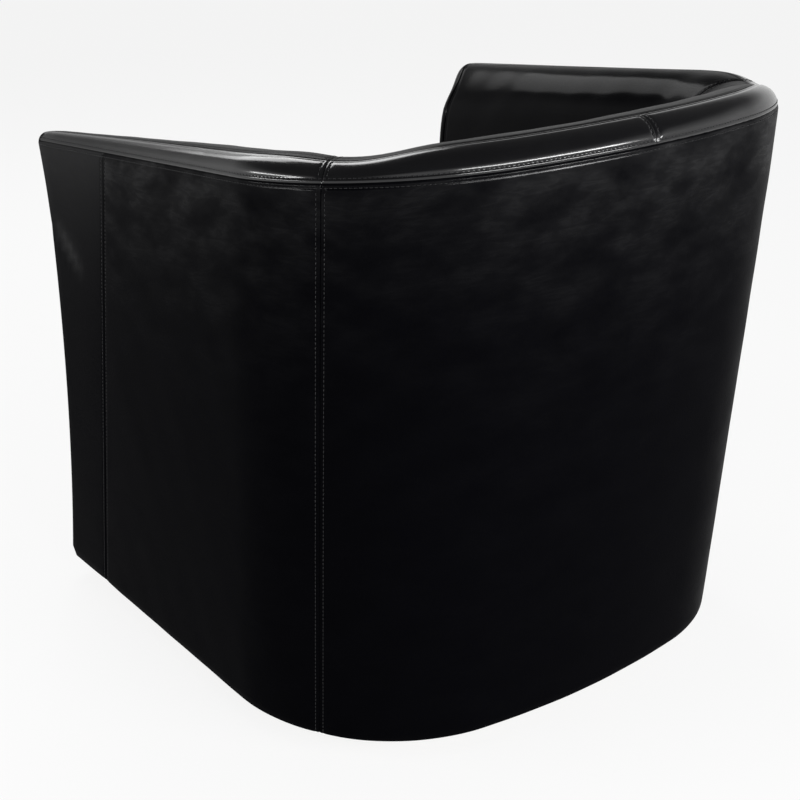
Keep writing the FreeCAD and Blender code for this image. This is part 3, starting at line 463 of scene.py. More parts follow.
# Arm fronts: the side runs to the front, turns in on a quarter circle and closes across a slightly full face
facing = {"face": 0.0035, "roundSteps": 8, "faceSteps": 13, "hub": 0.078, "fullFrom": (0.014, 0.03), "fullTop": 0.06,
          "rise": (0.58, 0.011), "cap": (0.045, 0.003), "side": (0.07, 0.007), "ridgeSteps": 5, "uvStart": 2.0,
          "fold": 0.0026, "foldFrom": (-0.318, 0.515), "foldTo": (-0.240, 0.455), "foldWidth": 0.010,
          "polish": 0.2, "facePolish": 0.10, "foldPolish": 55}


def loopQ(sigma, share):
    # outer half of the arm's end loop: 0 to 1 lower edge to cap seam, to 2 cap's inner seam, to 3 ridge
    stops = [bottomQ(sigma), seamQ(sigma), capInnerQ(sigma), apexQ(sigma)]
    part = np.clip(share, 0, 2.999999)
    k = np.floor(part).astype(int)
    return np.choose(k, stops[:3]) + (part - k) * (np.choose(k + 1, stops) - np.choose(k, stops))


def loopInQ(sigma, share):
    # inner half of the same loop: lower edge to ridge by an even share
    return innerBottomQ(sigma) + share * (apexQ(sigma) - innerBottomQ(sigma))


def dent(points, normals):
    # soft fold on the outside of the arm front: a bell about a short slanting line
    a, b = np.array(facing["foldFrom"]), np.array(facing["foldTo"])
    place = points[..., 1:] - a
    along = np.clip(dot(place, b - a) / dot(b - a, b - a), 0, 1)
    away = np.linalg.norm(place - along[..., None] * (b - a), axis=-1)
    outside = np.clip(normals[..., 0] * 2, 0, 1)
    return -facing["fold"] * np.sin(math.pi * along) * bell(away, facing["foldWidth"]) * outside


def armEnd():
    # two quarter-round strips set in towards the arm's middle, and a face of straight lines between
    side, cap = crowded(*facing["rise"], (False, True)), crowded(*facing["cap"])
    rise = np.concatenate([side, 1 + cap[1:], 2 + np.linspace(0, 1, facing["ridgeSteps"])[1:]])[:, None]
    seamRow = int(np.argmin(np.abs(rise[:, 0] - 1)))
    turn = np.linspace(0, math.pi / 2, facing["roundSteps"])[None, :]
    edge = across(frontGap(0.0), lambda s: loopQ(s, rise), 0.0, 0.5)
    lengths = run(section(edge, loopQ(edge, rise))[0], 0)
    share = lengths / lengths[-1:]
    halves, insets = [], []
    for runAt in (lambda s: loopQ(s, rise), lambda s: loopInQ(s, share)):
        sigma = across(frontGap(1 - np.sin(turn)), runAt, 0.0, 0.5)
        halves.append(section(sigma, runAt(sigma))[0])
        insets.append(roundAt(sigma, runAt(sigma))[:, -1:] * (1 - np.cos(turn)))
    left = (lengths[-1:] - lengths)[:, 0]
    hubRow = np.where(left < facing["hub"], np.argmin(np.abs(left - facing["hub"])), np.arange(len(left)))
    middle = 0.5 * (halves[0][:, -1] + halves[1][:, -1])[hubRow]
    for k in (0, 1):
        toward = unit((middle - halves[k][:, -1]) * (1, 0, 1))
        halves[k] = halves[k] + toward[:, None, :] * insets[k][..., None]
    t = np.linspace(0, 1, facing["faceSteps"])[None, 1:-1, None]
    face = halves[0][:, -1:] * (1 - t) + halves[1][:, -1:] * t
    face[..., 1] = frontY(face[..., 2], x=face[..., 0])
    points = np.concatenate([halves[0], face, halves[1][:, ::-1]], 1)
    alongU, alongV = run(points, 1), run(points, 0)
    below = alongV[seamRow:seamRow + 1] - alongV
    outside = alongU.copy()
    outside[:seamRow] = np.hypot(alongU, below)[:seamRow]
    inside = alongU[:, -1:] - alongU
    d = np.minimum(outside, inside)
    normals = slopes(points, ahead)
    normals[-1] = normals[-2]
    start, wide = facing["fullFrom"]
    full = np.clip((np.minimum(alongU, inside) - start) / wide, 0, 1)
    lift = seamShape(d, False) + facing["face"] * eased(full) * np.clip(left / facing["fullTop"], 0, 1)[:, None]
    points = points + normals * (lift + dent(points, normals))[..., None]
    polish = facing["polish"] * np.exp(-np.clip(below, 0, None) / shine["reach"]) + facing["facePolish"] * full
    return rise[:seamRow + 1, 0], (points, normals, np.stack([alongU + facing["uvStart"], alongV], -1), d, polish)


def armSide(rows, edge):
    # the strip from the facing seam to the arm front, whose last line is the first of the arm's end
    start, end = (across(gap, lambda s: loopQ(s, rows), 0.0, 0.9) for gap in (facingGap, frontGap(1.0)))
    sigma = start[:, None] + (end - start)[:, None] * crowded(*facing["side"], (True, False))[None, :]
    q = bottomQ(sigma) + rows[:, None] * (seamQ(sigma) - bottomQ(sigma))
    points, outward = section(sigma, q)
    alongU, alongV = run(points, 1), run(points, 0)
    below = alongV[-1:] - alongV
    d = np.minimum(alongU, below)
    points = points + outward * (seamShape(d) + dent(points, outward))[..., None]
    points[:, -1] = edge
    uv = np.stack([alongU - alongU[:, -1:] + facing["uvStart"], alongV], -1)
    # polish raised along the fold: a glint in the glaze, and a stronger painted crease highlight in the base colour
    # there
    polish = facing["polish"] * np.exp(-below / shine["reach"]) - facing["foldPolish"] * dent(points, outward)
    return points, outward, uv, d, polish


sideRows, endGrid = armEnd()
sideGrid = armSide(sideRows, endGrid[0][:len(sideRows), 0])
for hand, mirror in hands:
    pieces["facing_" + hand] = sewn(f"facing_{hand}_leather", [hem(*sideGrid), hem(*endGrid)], mirror)
print("arm fronts done")

# Stitches: small arched beads, one for each stitch, along the rows beside the seams
bothSides = (seam["row"], -seam["row"])
thread = {"pitch": 0.0050, "length": 0.0039, "radius": 0.00046, "rise": 0.00042, "sunk": 1.6, "rings": 7, "sides": 6,
          "body": (0.002, 0.987), "cross": (0.2, 0.97), "inner": (0.02, 0.99)}  # stitched shares of the seams


def stitchRow(spots, normals):
    # beads at even steps along a row: half an ellipse long, arched over the leather, ends sunk in it
    along = np.concatenate([[0], np.cumsum(np.linalg.norm(np.diff(spots, axis=0), axis=1))])
    count = max(1, int(along[-1] / thread["pitch"]))
    at = (np.arange(count) + 0.5) * along[-1] / count
    pick = lambda values, where: np.stack([np.interp(where, along, values[:, k]) for k in range(3)], -1)
    centre, normal = pick(spots, at), unit(pick(normals, at))
    tangent = unit(pick(spots, at + 0.001) - pick(spots, at - 0.001))
    side = unit(np.cross(normal, tangent))
    t = np.linspace(-1, 1, thread["rings"])
    radius = thread["radius"] * np.sqrt(np.clip(1.0001 - t ** 4, 0, 1))
    lift = thread["rise"] * (1 - thread["sunk"] * t ** 2)
    a = np.linspace(0, 2 * math.pi, thread["sides"], endpoint=False)
    ring = (tangent[:, None, None] * (t * thread["length"] / 2)[None, :, None, None]
            + side[:, None, None] * (radius[:, None] * np.cos(a))[None, :, :, None]
            + normal[:, None, None] * (lift[:, None] + radius[:, None] * np.sin(a))[None, :, :, None])
    return centre[:, None, None] + ring


def mirrored(rows):
    return rows + [(spots * (-1, 1, 1), normals * (-1, 1, 1)) for spots, normals in rows]


def beads(name, rows):
    verts = np.concatenate([stitchRow(*row) for row in rows])
    n, rings, sides = verts.shape[:3]
    k = np.arange(n * rings * sides).reshape(n, rings, sides)
    j = np.roll(k, -1, 2)
    faces = np.stack([k[:, :-1], j[:, :-1], j[:, 1:], k[:, 1:]], -1).reshape(-1, 4)
    return meshOf(name, verts.reshape(-1, 3), faces)


def rowBeside(sigma, q, moveU=0.0, moveV=0.0):
    # a row beside a seam: the seam moved by a length across or along the wall, on the shaped leather
    small = 1e-4
    rate = np.linalg.norm(section(sigma + small, q)[0] - section(sigma - small, q)[0], axis=-1) / (2 * small)
    spot, normal = section(sigma + moveU / rate, q + moveV)
    return spot + normal * seamShape(np.full(sigma.shape, seam["row"]))[:, None], normal


def rowsAcross(gap, lowAt, highAt, keep):
    # both stitch rows of a seam that runs up the wall
    r = np.linspace(*keep, 300)
    sigma = across(gap, lambda s: lowAt(s) + r * (highAt(s) - lowAt(s)), 0.0, 1.0)
    q = lowAt(sigma) + r * (highAt(sigma) - lowAt(sigma))
    return [rowBeside(sigma, q, move) for move in bothSides]


capSigma = np.linspace(float(across(frontGap(1.0), seamQ, 0.0, 0.9)), 1, 400)
capRows = [rowBeside(capSigma, seamQ(capSigma), 0, move) for move in bothSides]
pieces["capStitches"] = beads("cap_seam_stitches", mirrored(capRows))
bodyRows = [row for gap in (cornerGap, facingGap) for row in rowsAcross(gap, bottomQ, seamQ, thread["body"])]
pieces["bodyStitches"] = beads("body_seam_stitches", mirrored(bodyRows))
crossRows = rowsAcross(cornerGap, seamQ, capInnerQ, thread["cross"])
midShare = np.linspace(*thread["cross"], 60)
midSigma = np.ones_like(midShare)
midQ = seamQ(midSigma) + midShare * (capInnerQ(midSigma) - seamQ(midSigma))
midRows = [rowBeside(midSigma, midQ, move) for move in bothSides]
pieces["crossStitches"] = beads("cap_cross_stitches", mirrored(crossRows) + midRows)
innerRows = rowsAcross(cornerGap, capInnerQ, seatQ, thread["inner"])
pieces["innerStitches"] = beads("inner_seam_stitches", mirrored(innerRows))
print("stitches done")

# Seat cushion: crowned box with drawn-in sides, blown up as cloth, then its two seams are drawn in
cushion = {
    "low": 0.3066, "edge": 0.112, "crown": 0.014, "halfWidth": 0.2385, "rear": 0.190, "front": 0.330,
    "corner": 0.138, "back": 0.62, "nose": 0.045, "voxel": 0.0055, "evenings": 60, "frames": 20,
    "sideLevels": (0, 0, 0, 0.004, 0.012, 0.03, 0.052, 0.075), "edgeLevels": (-0.012, -0.004, 0.0),
    "crownLevels": (0.35, 0.7, 0.93, 1.0),  # shares of the crown
    "draws": (0.17, 0.09, 0.02, 0.008, 0.003, 0.0, 0.0, 0.0, 0.003, 0.009, 0.018, 0.05, 0.09, 0.14, 0.185),
    "moveSide": 0.004, "moveTop": 0.011, "moveLow": 0.0006,  # most that the cloth may move
    "topFrom": (0.06, 0.05), "lowUnder": 0.05,
    "seams": (0.016, 0.098), "pull": (0.0034, 0.0048),  # heights, depth and width
    "middle": -0.07, "reach": (0.24, 0.26), "edgeFrom": (0.72, 0.12), "hide": (0.3, 0.9),
    "cloth": {"quality": 6, "mass": 0.4, "tension_stiffness": 30, "compression_stiffness": 30, "shear_stiffness": 12,
              "bending_stiffness": 20, "use_pressure": True, "uniform_pressure_force": 4.0},
}


def seatOutline(draw, count):
    # closed outline moved in by draw: straight front with round corners, straight sides, round back
    a, b, f = cushion["halfWidth"] - draw, cushion["rear"] - draw, cushion["front"] - draw
    r, s, n = cushion["corner"] - 0.6 * draw, cushion["back"] - draw, np.maximum(cushion["nose"] - 0.5 * draw, 0.01)
    turn = np.arccos((a - r) / (s - r))
    middle = b - s + (s - r) * np.sin(turn)
    w = np.linspace(0, 1, count)[None, :]
    front = np.stack([(a - n) * w, np.broadcast_to(-f, (len(draw), count))], -1)
    arc = w * math.pi / 2
    nose = np.stack([a - n + n * np.sin(arc), -f + n - n * np.cos(arc)], -1)
    side = np.stack([np.broadcast_to(a, (len(draw), count)), -f + n + (middle + f - n) * w], -1)
    corner = np.stack([a - r + r * np.cos(turn * w), middle + r * np.sin(turn * w)], -1)
    rear = turn + (math.pi / 2 - turn) * w
    back = np.stack([s * np.cos(rear), b - s + s * np.sin(rear)], -1)
    half = np.concatenate([front[:, :-1], nose[:, :-1], side[:, :-1], corner[:, :-1], back], 1)
    return np.concatenate([half, (half * (-1, 1))[:, -2:0:-1]], 1)


def seatForm():
    # levels of the block from its flat underside to its crown: each an outline drawn in by its own amount
    edge = cushion["edge"]
    z = np.concatenate([cushion["sideLevels"], edge + np.array(cushion["edgeLevels"]),
                        edge + cushion["crown"] * np.array(cushion["crownLevels"])])
    ring = seatOutline(np.array(cushion["draws"])[:, None], 14)
    spots = np.concatenate([ring, np.broadcast_to((cushion["low"] + z)[:, None, None], ring.shape[:2] + (1,))], -1)
    rows, cols = spots.shape[:2]
    k = np.arange(rows * cols).reshape(rows, cols)
    j = np.roll(k, -1, 1)
    faces = np.stack([k[:-1], j[:-1], j[1:], k[1:]], -1).reshape(-1, 4).tolist()
    mesh = bpy.data.meshes.new("seat_cushion_leather")
    mesh.from_pydata(spots.reshape(-1, 3).tolist(), [], faces + [k[0, ::-1].tolist(), k[-1].tolist()])
    return linked("seat_cushion_leather", mesh)


def coordinates(mesh):
    flat = np.empty(len(mesh.vertices) * 3, dtype=np.float32)
    mesh.vertices.foreach_get("co", flat)
    return flat.reshape(-1, 3).astype(float)


def applied(piece):
    graph = bpy.context.evaluated_depsgraph_get()
    mesh = bpy.data.meshes.new_from_object(piece.evaluated_get(graph))
    piece.modifiers.clear()
    piece.data = mesh


def evened(mesh, moved):
    # the cloth's movement without its crumples: each point goes halfway to the mean of its neighbours
    ends = np.empty(len(mesh.edges) * 2, dtype=np.int32)
    mesh.edges.foreach_get("vertices", ends)
    a, b = ends.reshape(-1, 2).T
    count = np.bincount(ends, minlength=len(moved))[:, None]
    summed = lambda values: np.bincount(a, values[b], len(values)) + np.bincount(b, values[a], len(values))
    for _ in range(cushion["evenings"]):
        total = np.stack([summed(moved[:, k]) for k in range(3)], -1)
        moved = 0.5 * moved + 0.5 * total / count
    return moved


def blownUp(piece):
    # even mesh, cloth under pressure, and its movement held within limits for the top, sides and underside
    even = piece.modifiers.new("even", "REMESH")
    even.mode, even.voxel_size = "VOXEL", cushion["voxel"]
    applied(piece)
    rest = coordinates(piece.data)
    cloth = piece.modifiers.new("cloth", "CLOTH")
    for key, value in cushion["cloth"].items():
        setattr(cloth.settings, key, value)
    cloth.settings.effector_weights.gravity = 0
    cloth.point_cache.frame_start, cloth.point_cache.frame_end = 1, cushion["frames"]
    for number in range(1, cushion["frames"] + 1):
        scene.frame_set(number)
    applied(piece)
    scene.frame_set(1)
    moved = coordinates(piece.data) - rest
    height = rest[:, 2] - cushion["low"]
    start, tall = cushion["topFrom"]
    top = cushion["moveTop"] * np.clip((height - start) / tall, 0, 1)
    high = np.where(height < cushion["lowUnder"], cushion["moveLow"], top)
    limit = np.stack([np.full(len(rest), cushion["moveSide"])] * 2 + [high], -1)
    return rest + evened(piece.data, np.clip(moved, -limit, limit))


def seatSeams(spots):
    # draw the cover in along its two edge seams: a bell in height, on the sides only
    wide, deep = cushion["reach"]
    inside = np.hypot(spots[:, 0] / wide, (spots[:, 1] - cushion["middle"]) / deep)
    start, width = cushion["edgeFrom"]
    edge = np.clip((inside - start) / width, 0, 1)
    amount, narrow = cushion["pull"]
    pull = sum(amount * bell(spots[:, 2] - cushion["low"] - height, narrow) for height in cushion["seams"])
    inward = unit((np.array([0, cushion["middle"], 0]) - spots) * (1, 1, 0))
    return spots + inward * (pull * edge)[:, None]


seat = seatForm()
form = seatSeams(blownUp(seat))
seat.data.vertices.foreach_set("co", form.astype(np.float32).ravel())
setSmooth(seat.data)
fine = seat.modifiers.new("fine", "SUBSURF")
fine.levels = fine.render_levels = 1
setUv(seat.data, form[:, :2] + form[:, 2:] * cushion["hide"])
fromSeams = [np.abs(form[:, 2] - cushion["low"] - height) for height in cushion["seams"]]
setMark(seat.data, "seamGap", np.min(fromSeams, axis=0))
setMark(seat.data, "polish", np.full(len(form), shine["seat"]))
pieces["seat"] = seat
print("cushion:", len(form), "points")

# Apron under the cushion, laid back over the front rail
apron = {"setback": 0.010, "low": 0.028, "high": 0.3040, "half": (0.2440, 0.2500), "full": 0.004, "round": 0.010,
         "back": -0.262, "turned": (0.018, 0.002), "lip": 0.0004, "rows": 41, "cols": 61, "uvStart": 5}


def apronGrid():
    # a sheet that follows the arms' front arc, fuller in the middle, then a quarter circle and a flat top
    x = np.concatenate([[-1, -1], np.sin(np.linspace(-math.pi / 2, math.pi / 2, apron["cols"])), [1, 1]])
    low, high, r, lip = apron["low"], apron["high"], apron["round"], apron["lip"]
    rise = low + np.linspace(0, 1, apron["rows"]) * (high - r - low)
    turn = np.linspace(0, math.pi / 2, 7)[1:]
    z = np.concatenate([[low + lip, low - lip], rise, high - r + r * np.sin(turn), [high]])
    y = frontY(np.minimum(z, high - r), apron["setback"])
    y = y + np.concatenate([apron["turned"], np.zeros(len(rise)), r * (1 - np.cos(turn)), [0.0]])
    y[-1] = apron["back"]
    share = np.clip((z - low) / (high - low), 0, 1)
    flat, up = np.meshgrid(x, share)
    spot = np.stack([flat * np.interp(share, (0, 1), apron["half"])[:, None], np.repeat(y[:, None], len(x), 1),
                     np.repeat(z[:, None], len(x), 1)], -1)
    spot[:-1, :, 1] -= (apron["full"] * (1 - flat ** 6) * (1 - (2 * up - 1) ** 6))[:-1]
    turnedIn = np.zeros(x.shape)
    turnedIn[[0, -1]], turnedIn[[1, -2]] = apron["turned"]
    spot[:-1, :, 1] += turnedIn
    d = (1 - np.abs(flat)) * apron["half"][0]
    uv = np.stack([spot[..., 0] + apron["uvStart"], spot[..., 2]], -1)
    return spot, np.broadcast_to(ahead, spot.shape), uv, d, np.full_like(d, shine["apron"])


pieces["apron"] = sewn("apron_leather", [apronGrid()])

# Dust cloth stretched under the deck
dust = {"height": 0.0447, "inset": 0.0515, "hole": 0.033, "front": -0.280, "sag": 0.0003, "rings": 15, "thick": 0.0005,
        "uvStart": 7.0}


def dustGrid():
    # rings from the round hole at the pivot out to the frame: straight lines between the two outlines
    shape = tuple(v - dust["inset"] for v in tub["low"])
    x, y = outline(shape, np.linspace(0, 1, 241))
    corners = [[shape[0] * share, dust["front"]] for share in (0.0, 0.5, 1.0)]
    half = np.concatenate([corners, np.stack([x, y], -1)[y > dust["front"]]])
    edge = np.concatenate([half, (half * (-1, 1))[-2::-1]])
    angle = np.arctan2(edge[:, 1], edge[:, 0])
    hole = dust["hole"] * np.stack([np.cos(angle), np.sin(angle)], -1)
    t = np.linspace(0, 1, dust["rings"])[:, None, None]
    ring = hole[None] * (1 - t) + edge[None] * t
    low = dust["height"] - dust["sag"] * np.sin(math.pi * t) * np.ones((1, len(edge), 1))
    spot = np.concatenate([ring, low], -1)
    downward = np.broadcast_to((0.0, 0.0, -1.0), spot.shape)
    return spot, downward, ring + dust["uvStart"], np.ones(ring.shape[:2]), np.zeros(ring.shape[:2])


def areaInside(edge):
    # half the sum of the cross products of neighbouring points
    here, there = edge[:-1], edge[1:]
    return abs(0.5 * (here[:, 0] * there[:, 1] - here[:, 1] * there[:, 0]).sum())


dustSheet = dustGrid()
pieces["dust"] = sewn("dust_cloth", [dustSheet], thick=dust["thick"])
dustArea = areaInside(dustSheet[0][-1, :, :2]) - math.pi * dust["hole"] ** 2
print("apron and dust cloth done")


# Finishes
class Wire:
    # a shader socket that takes part in sums; numbers on either side become values of Math nodes
    def __init__(self, tree, socket=None):
        self.tree, self.socket = tree, socket

    def node(self, kind, settings, inputs, out=0):
        made = self.tree.nodes.new(kind)
        for key, value in settings.items():
            setattr(made, key, value)
        feed(made, inputs)
        return Wire(self.tree, made.outputs[out])

    def math(self, operation, a, b=0.0):
        return self.node("ShaderNodeMath", {"operation": operation}, {0: a, 1: b})

    def beside(self, name):
        return Wire(self.tree, self.socket.node.outputs[name])

    def __add__(self, other): return self.math("ADD", self, other)
    def __radd__(self, other): return self.math("ADD", other, self)
    def __sub__(self, other): return self.math("SUBTRACT", self, other)
    def __rsub__(self, other): return self.math("SUBTRACT", other, self)
    def __mul__(self, other): return self.math("MULTIPLY", self, other)
    def __rmul__(self, other): return self.math("MULTIPLY", other, self)
    def __truediv__(self, other): return self.math("DIVIDE", self, other)
    def __rtruediv__(self, other): return self.math("DIVIDE", other, self)
    def __pow__(self, other): return self.math("POWER", self, other)

    def clamp(self): return self.node("ShaderNodeClamp", {}, {0: self})
    def size(self): return self.math("ABSOLUTE", self)


def feed(made, inputs):
    for key, value in inputs.items():
        if isinstance(value, Wire):
            value.tree.links.new(value.socket, made.inputs[key])
        else:
            made.inputs[key].default_value = value


def startFinish(name):
    made = bpy.data.materials.new(name)
    made.use_nodes = True
    shader = next(n for n in made.node_tree.nodes if n.type == "BSDF_PRINCIPLED")
    return made, shader, Wire(made.node_tree)


def stretch(w, vector, scale):
    return w.node("ShaderNodeMapping", {"vector_type": "POINT"}, {"Vector": vector, "Scale": scale})


def noise(w, vector, scale, detail, **more):
    return w.node("ShaderNodeTexNoise", {}, {"Vector": vector, "Scale": scale, "Detail": detail, **more}, "Fac")


def blend(w, factor, tone, other):
    tones = {"A": (*tone, 1.0), "B": (*other, 1.0)}
    return w.node("ShaderNodeMix", {"data_type": "RGBA"}, {"Factor": factor, **tones}, "Result")


def raisedBy(w, height):
    return w.node("ShaderNodeBump", {}, {"Strength": 1.0, "Distance": 1.0, "Height": height}, "Normal")


def leatherFinish(name, tone, bright, rough, coat, mottled):
    # black leather: grain, slow waves and fine creases in the bump; a glaze that follows the polish; crease ridges
    # lightened in the base colour where the polish is high, a painted highlight
    made, shader, w = startFinish(name)
    uv = w.node("ShaderNodeUVMap", {"uv_map": "hide"}, {})
    gap = w.node("ShaderNodeAttribute", {"attribute_name": "seamGap"}, {}, "Fac")
    polish = w.node("ShaderNodeAttribute", {"attribute_name": "polish"}, {}, "Fac")
    pebble = w.node("ShaderNodeTexVoronoi", {"feature": "SMOOTH_F1"},
                    {"Vector": uv, "Scale": 620.0, "Smoothness": 0.6}, "Distance")
    pores = noise(w, uv, 1500.0, 2.0)
    slow = noise(w, uv, 7.0, 2.5, Roughness=0.5)
    patchy = noise(w, stretch(w, uv, (15.0, 26.0, 1.0)), 1.0, 4.0, Roughness=0.55)
    lines = noise(w, stretch(w, uv, (26.0, 150.0, 1.0)), 1.0, 3.0, Distortion=0.4)
    creases = (1 - (lines * 2 - 1).size()).clamp() ** 7 * ((patchy - 0.46) * 6).clamp()
    near = (1 - gap / 0.02).clamp()
    height = slow * 0.0013 + pebble * 0.00022 + pores * 0.00005 - creases * 0.00022 * (1 - near)
    # painted highlight: crease ridges lightened in the base colour where the polish is high, standing in for glints
    creaseGlint = creases * polish
    glaze = polish * coat * ((patchy - 0.2) * 1.5).clamp() if mottled else polish * coat
    feed(shader, {"Base Color": blend(w, (patchy * 0.8 + pebble * 0.4 + creaseGlint * 2).clamp(), tone, bright),
                  "Roughness": (rough + (patchy - 0.5) * 0.22 + near * 0.03).clamp(), "Normal": raisedBy(w, height),
                  "Coat Weight": (0.004 + glaze + creaseGlint * (0.4 if mottled else 0.1)).clamp(),
                  "Specular IOR Level": 0.0025, "Coat Roughness": 0.16, "Coat IOR": 1.55})
    return made


def speckFinish(name, tone, other, scale, rough, metal=0.0, bump=0.0001, longwise=(1, 1, 1), specular=0.5):
    # grainy finishes: two tones mixed by noise that may be drawn out along one direction
    made, shader, w = startFinish(name)
    place = w.node("ShaderNodeTexCoord", {}, {}, "Object")
    grain = noise(w, stretch(w, place, longwise), scale, 4.0)
    feed(shader, {"Base Color": blend(w, ((grain - 0.3) * 2.2).clamp(), tone, other), "Metallic": metal,
                  "Roughness": (rough + (grain - 0.5) * 0.2).clamp(), "Normal": raisedBy(w, grain * bump),
                  "Specular IOR Level": specular})
    return made


def weaveFinish(name, tone, other, pitch, rough):
    # woven cloth: two crossed sine ridges, the brighter where a thread lies on top
    made, shader, w = startFinish(name)
    place = w.node("ShaderNodeTexCoord", {}, {}, "Object")
    lengthwise = w.node("ShaderNodeSeparateXYZ", {}, {0: place})
    warp, weft = (w.math("SINE", way * (2 * math.pi / pitch)) for way in (lengthwise, lengthwise.beside("Y")))
    over = (warp * weft * 0.5 + 0.5).clamp()
    feed(shader, {"Base Color": blend(w, over, tone, other), "Roughness": rough,
                  "Normal": raisedBy(w, over * (pitch * 0.12))})
    return made


blackHide = (0.0010, 0.0010, 0.0015), (0.0021, 0.0021, 0.0028)
finishes = {
    "black_leather": leatherFinish("black leather", *blackHide, 0.40, 0.95, True),
    "smooth_leather": leatherFinish("smooth black leather", *blackHide, 0.36, 0.95, False),
    "thread": speckFinish("black thread", (0.006, 0.006, 0.0068), (0.015, 0.015, 0.0165), 900.0, 0.38,
                          bump=0.0002, specular=0.25),
    "foam": speckFinish("upholstery foam", (0.80, 0.76, 0.62), (0.9, 0.86, 0.72), 420.0, 0.95, bump=0.0006),
    "fibreboard": speckFinish("hardboard", (0.34, 0.22, 0.13), (0.5, 0.36, 0.22), 260.0, 0.75),
    "plywood": speckFinish("plywood", (0.62, 0.46, 0.28), (0.78, 0.62, 0.42), 26.0, 0.6, longwise=(1, 9, 9)),
    "webbing": weaveFinish("elastic webbing", (0.10, 0.09, 0.08), (0.30, 0.27, 0.24), 0.003, 0.8),
    "black_cloth": weaveFinish("dust cloth", (0.008, 0.008, 0.009), (0.03, 0.03, 0.032), 0.0012, 0.9),
    "black_wood": speckFinish("black stained wood", (0.010, 0.0095, 0.009), (0.024, 0.022, 0.02), 30.0, 0.45,
                              longwise=(1, 14, 1)),
    "black_plastic": speckFinish("black plastic", (0.012, 0.012, 0.013), (0.022, 0.022, 0.024), 700.0, 0.5),
    "nylon": speckFinish("white nylon", (0.75, 0.74, 0.70), (0.86, 0.85, 0.82), 120.0, 0.4),
    "polished_steel": speckFinish("polished steel", (0.62, 0.63, 0.65), (0.72, 0.73, 0.75), 60.0, 0.14, 1.0, 0.00001),
    "zinc_steel": speckFinish("zinc plated steel", (0.50, 0.51, 0.52), (0.66, 0.67, 0.68), 180.0, 0.34, 1.0, 0.00002),
}
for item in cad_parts.values():
    for place in item.material_slots:
        key = place.material.name.split(".")[0] if place.material else "black_plastic"
        place.material = finishes[key]

# What each piece stands for: those solids of the imported model are hidden
stands = {"outerBack": ["outer_cover_back"], "innerBack": ["inner_cover_back", "wall_foam_back"],
          "seat": ["cushion_cover", "cushion_foam"], "apron": ["apron_cover", "apron_foam"], "dust": ["dust_cover"]}
for hand, _ in hands:
    stands["outer_" + hand] = ["outer_cover_" + hand]
    stands["cap_" + hand] = ["cap_cover_" + hand]
    stands["capBack_" + hand] = ["cap_cover_back_" + hand]
    stands["inner_" + hand] = ["inner_cover_" + hand, "wall_foam_" + hand]
    stands["facing_" + hand] = ["facing_cover_" + hand, "facing_foam_" + hand]
stands["capBack_left"].append("rim_foam_roll")
for key, piece in pieces.items():
    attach(piece, "chair")
    kind = "thread" if key.endswith("Stitches") else "black_cloth" if key == "dust" else "black_leather"
    smooth = key.startswith(("cap_", "capBack", "inner_", "innerBack", "facing_", "seat", "apron"))
    piece.data.materials.clear()
    piece.data.materials.append(finishes["smooth_leather" if smooth else kind])
    "black_cloth" if kind == "black_cloth" else "black_leather"
    if key in stands:
        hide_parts(*stands[key])
    kind == "black_leather"

# Floor, light and camera
studio = {"half": 9, "paper": 0.86, "glow": 0.86, "sky": 0.3, "darkFrom": 0.2, "darkOver": 0.28, "dark": 0.87}
corners = np.array([[-1, -1, 0], [1, -1, 0], [1, 1, 0], [-1, 1, 0]]) * float(studio["half"])
floor = meshOf("floor", corners, np.array([[0, 1, 2, 3]]))


def seenDirectly(w):
    # one for rays from the camera, from a glossy surface or through glass, and nought for the rest
    camera = w.node("ShaderNodeLightPath", {}, {})
    return (camera + camera.beside("Is Glossy Ray") + camera.beside("Is Transmission Ray")).clamp()


paper, shader, w = startFinish("pale floor")
feed(shader, {"Base Color": (*[studio["paper"]] * 3, 1.0), "Roughness": 0.9, "Specular IOR Level": 0.0})
glow = w.node("ShaderNodeEmission", {}, {"Color": (1, 1, 1, 1), "Strength": 1.0})
output = next(n for n in w.tree.nodes if n.type == "OUTPUT_MATERIAL")
plain = Wire(w.tree, shader.outputs[0])
mixed = w.node("ShaderNodeMixShader", {}, {0: seenDirectly(w) * studio["glow"], 1: plain, 2: glow})
w.tree.links.new(mixed.socket, output.inputs["Surface"])
floor.data.materials.append(paper)

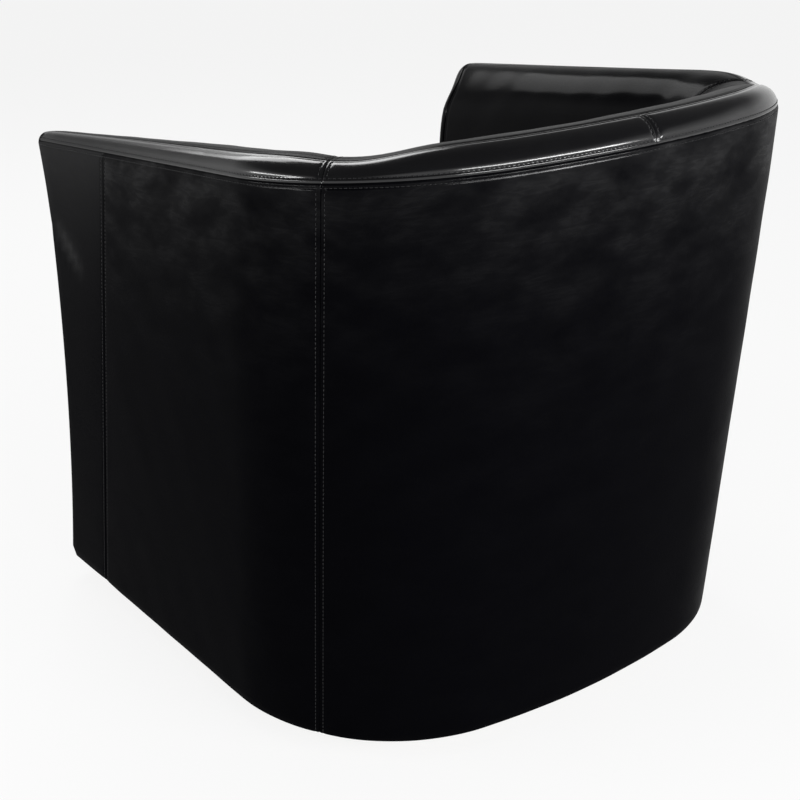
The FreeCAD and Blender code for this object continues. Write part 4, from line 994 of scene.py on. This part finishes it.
world = bpy.data.worlds.new("studio")
scene.world = world
world.use_nodes = True
w = Wire(world.node_tree)
sky = next(n for n in world.node_tree.nodes if n.type == "BACKGROUND")
sky.inputs["Color"].default_value = (1, 1, 1, 1)
upward = w.node("ShaderNodeSeparateXYZ", {}, {0: w.node("ShaderNodeTexCoord", {}, {}, "Generated")}, "Z")
overhead = ((upward - studio["darkFrom"]) / studio["darkOver"]).clamp()
backdrop = 1 - overhead * studio["dark"]
seen = seenDirectly(w)
world.node_tree.links.new((seen * backdrop + (1 - seen) * studio["sky"]).socket, sky.inputs["Strength"])

lamps = [
    # name, place, aim, size, watts
    ("leftSoftbox", (1.90, -0.56, 1.00), (0.33, 0.1, 0.62), (1.3, 0.14), 13.5),
    ("rightSoftbox", (-0.16, 2.02, 0.90), (0.05, 0.33, 0.62), (2.0, 0.17), 43),
    ("frontSoftbox", (-0.3, -1.9, 2.1), (0.0, 0.0, 0.5), (1.5, 1.2), 26),
]


def pointed(place, aim):
    # axes of an object that looks along -Z: right is level, up is square to both
    forward = unit(np.subtract(aim, place))
    right = unit(np.cross(forward, (0, 0, 1)))
    up = np.cross(right, forward)
    turn = np.eye(4)
    turn[:3, 0], turn[:3, 1], turn[:3, 2], turn[:3, 3] = right, up, -forward, place
    return Matrix(turn.tolist())


for name, place, aim, size, watts in lamps:
    lamp = bpy.data.lights.new(name, "AREA")
    lamp.shape, lamp.size, lamp.size_y, lamp.energy = "RECTANGLE", size[0], size[1], watts
    holder = linked(name, lamp)
    holder.matrix_world = pointed(place, aim)
    holder.visible_camera = False

shot = {"place": (1.122, 1.411, 1.079), "heading": (-0.606, -0.7955), "pitch": 23.68, "lens": 70.69, "sensor": 36.0}
camera = bpy.data.cameras.new("photo camera")
camera.lens, camera.sensor_width = shot["lens"], shot["sensor"]
drop = math.radians(shot["pitch"])
forward = np.array([*(np.array(shot["heading"]) * math.cos(drop)), -math.sin(drop)])
scene.camera = linked("photo camera", camera)
scene.camera.matrix_world = pointed(shot["place"], np.array(shot["place"]) + forward)
scene.view_settings.view_transform = "Standard"
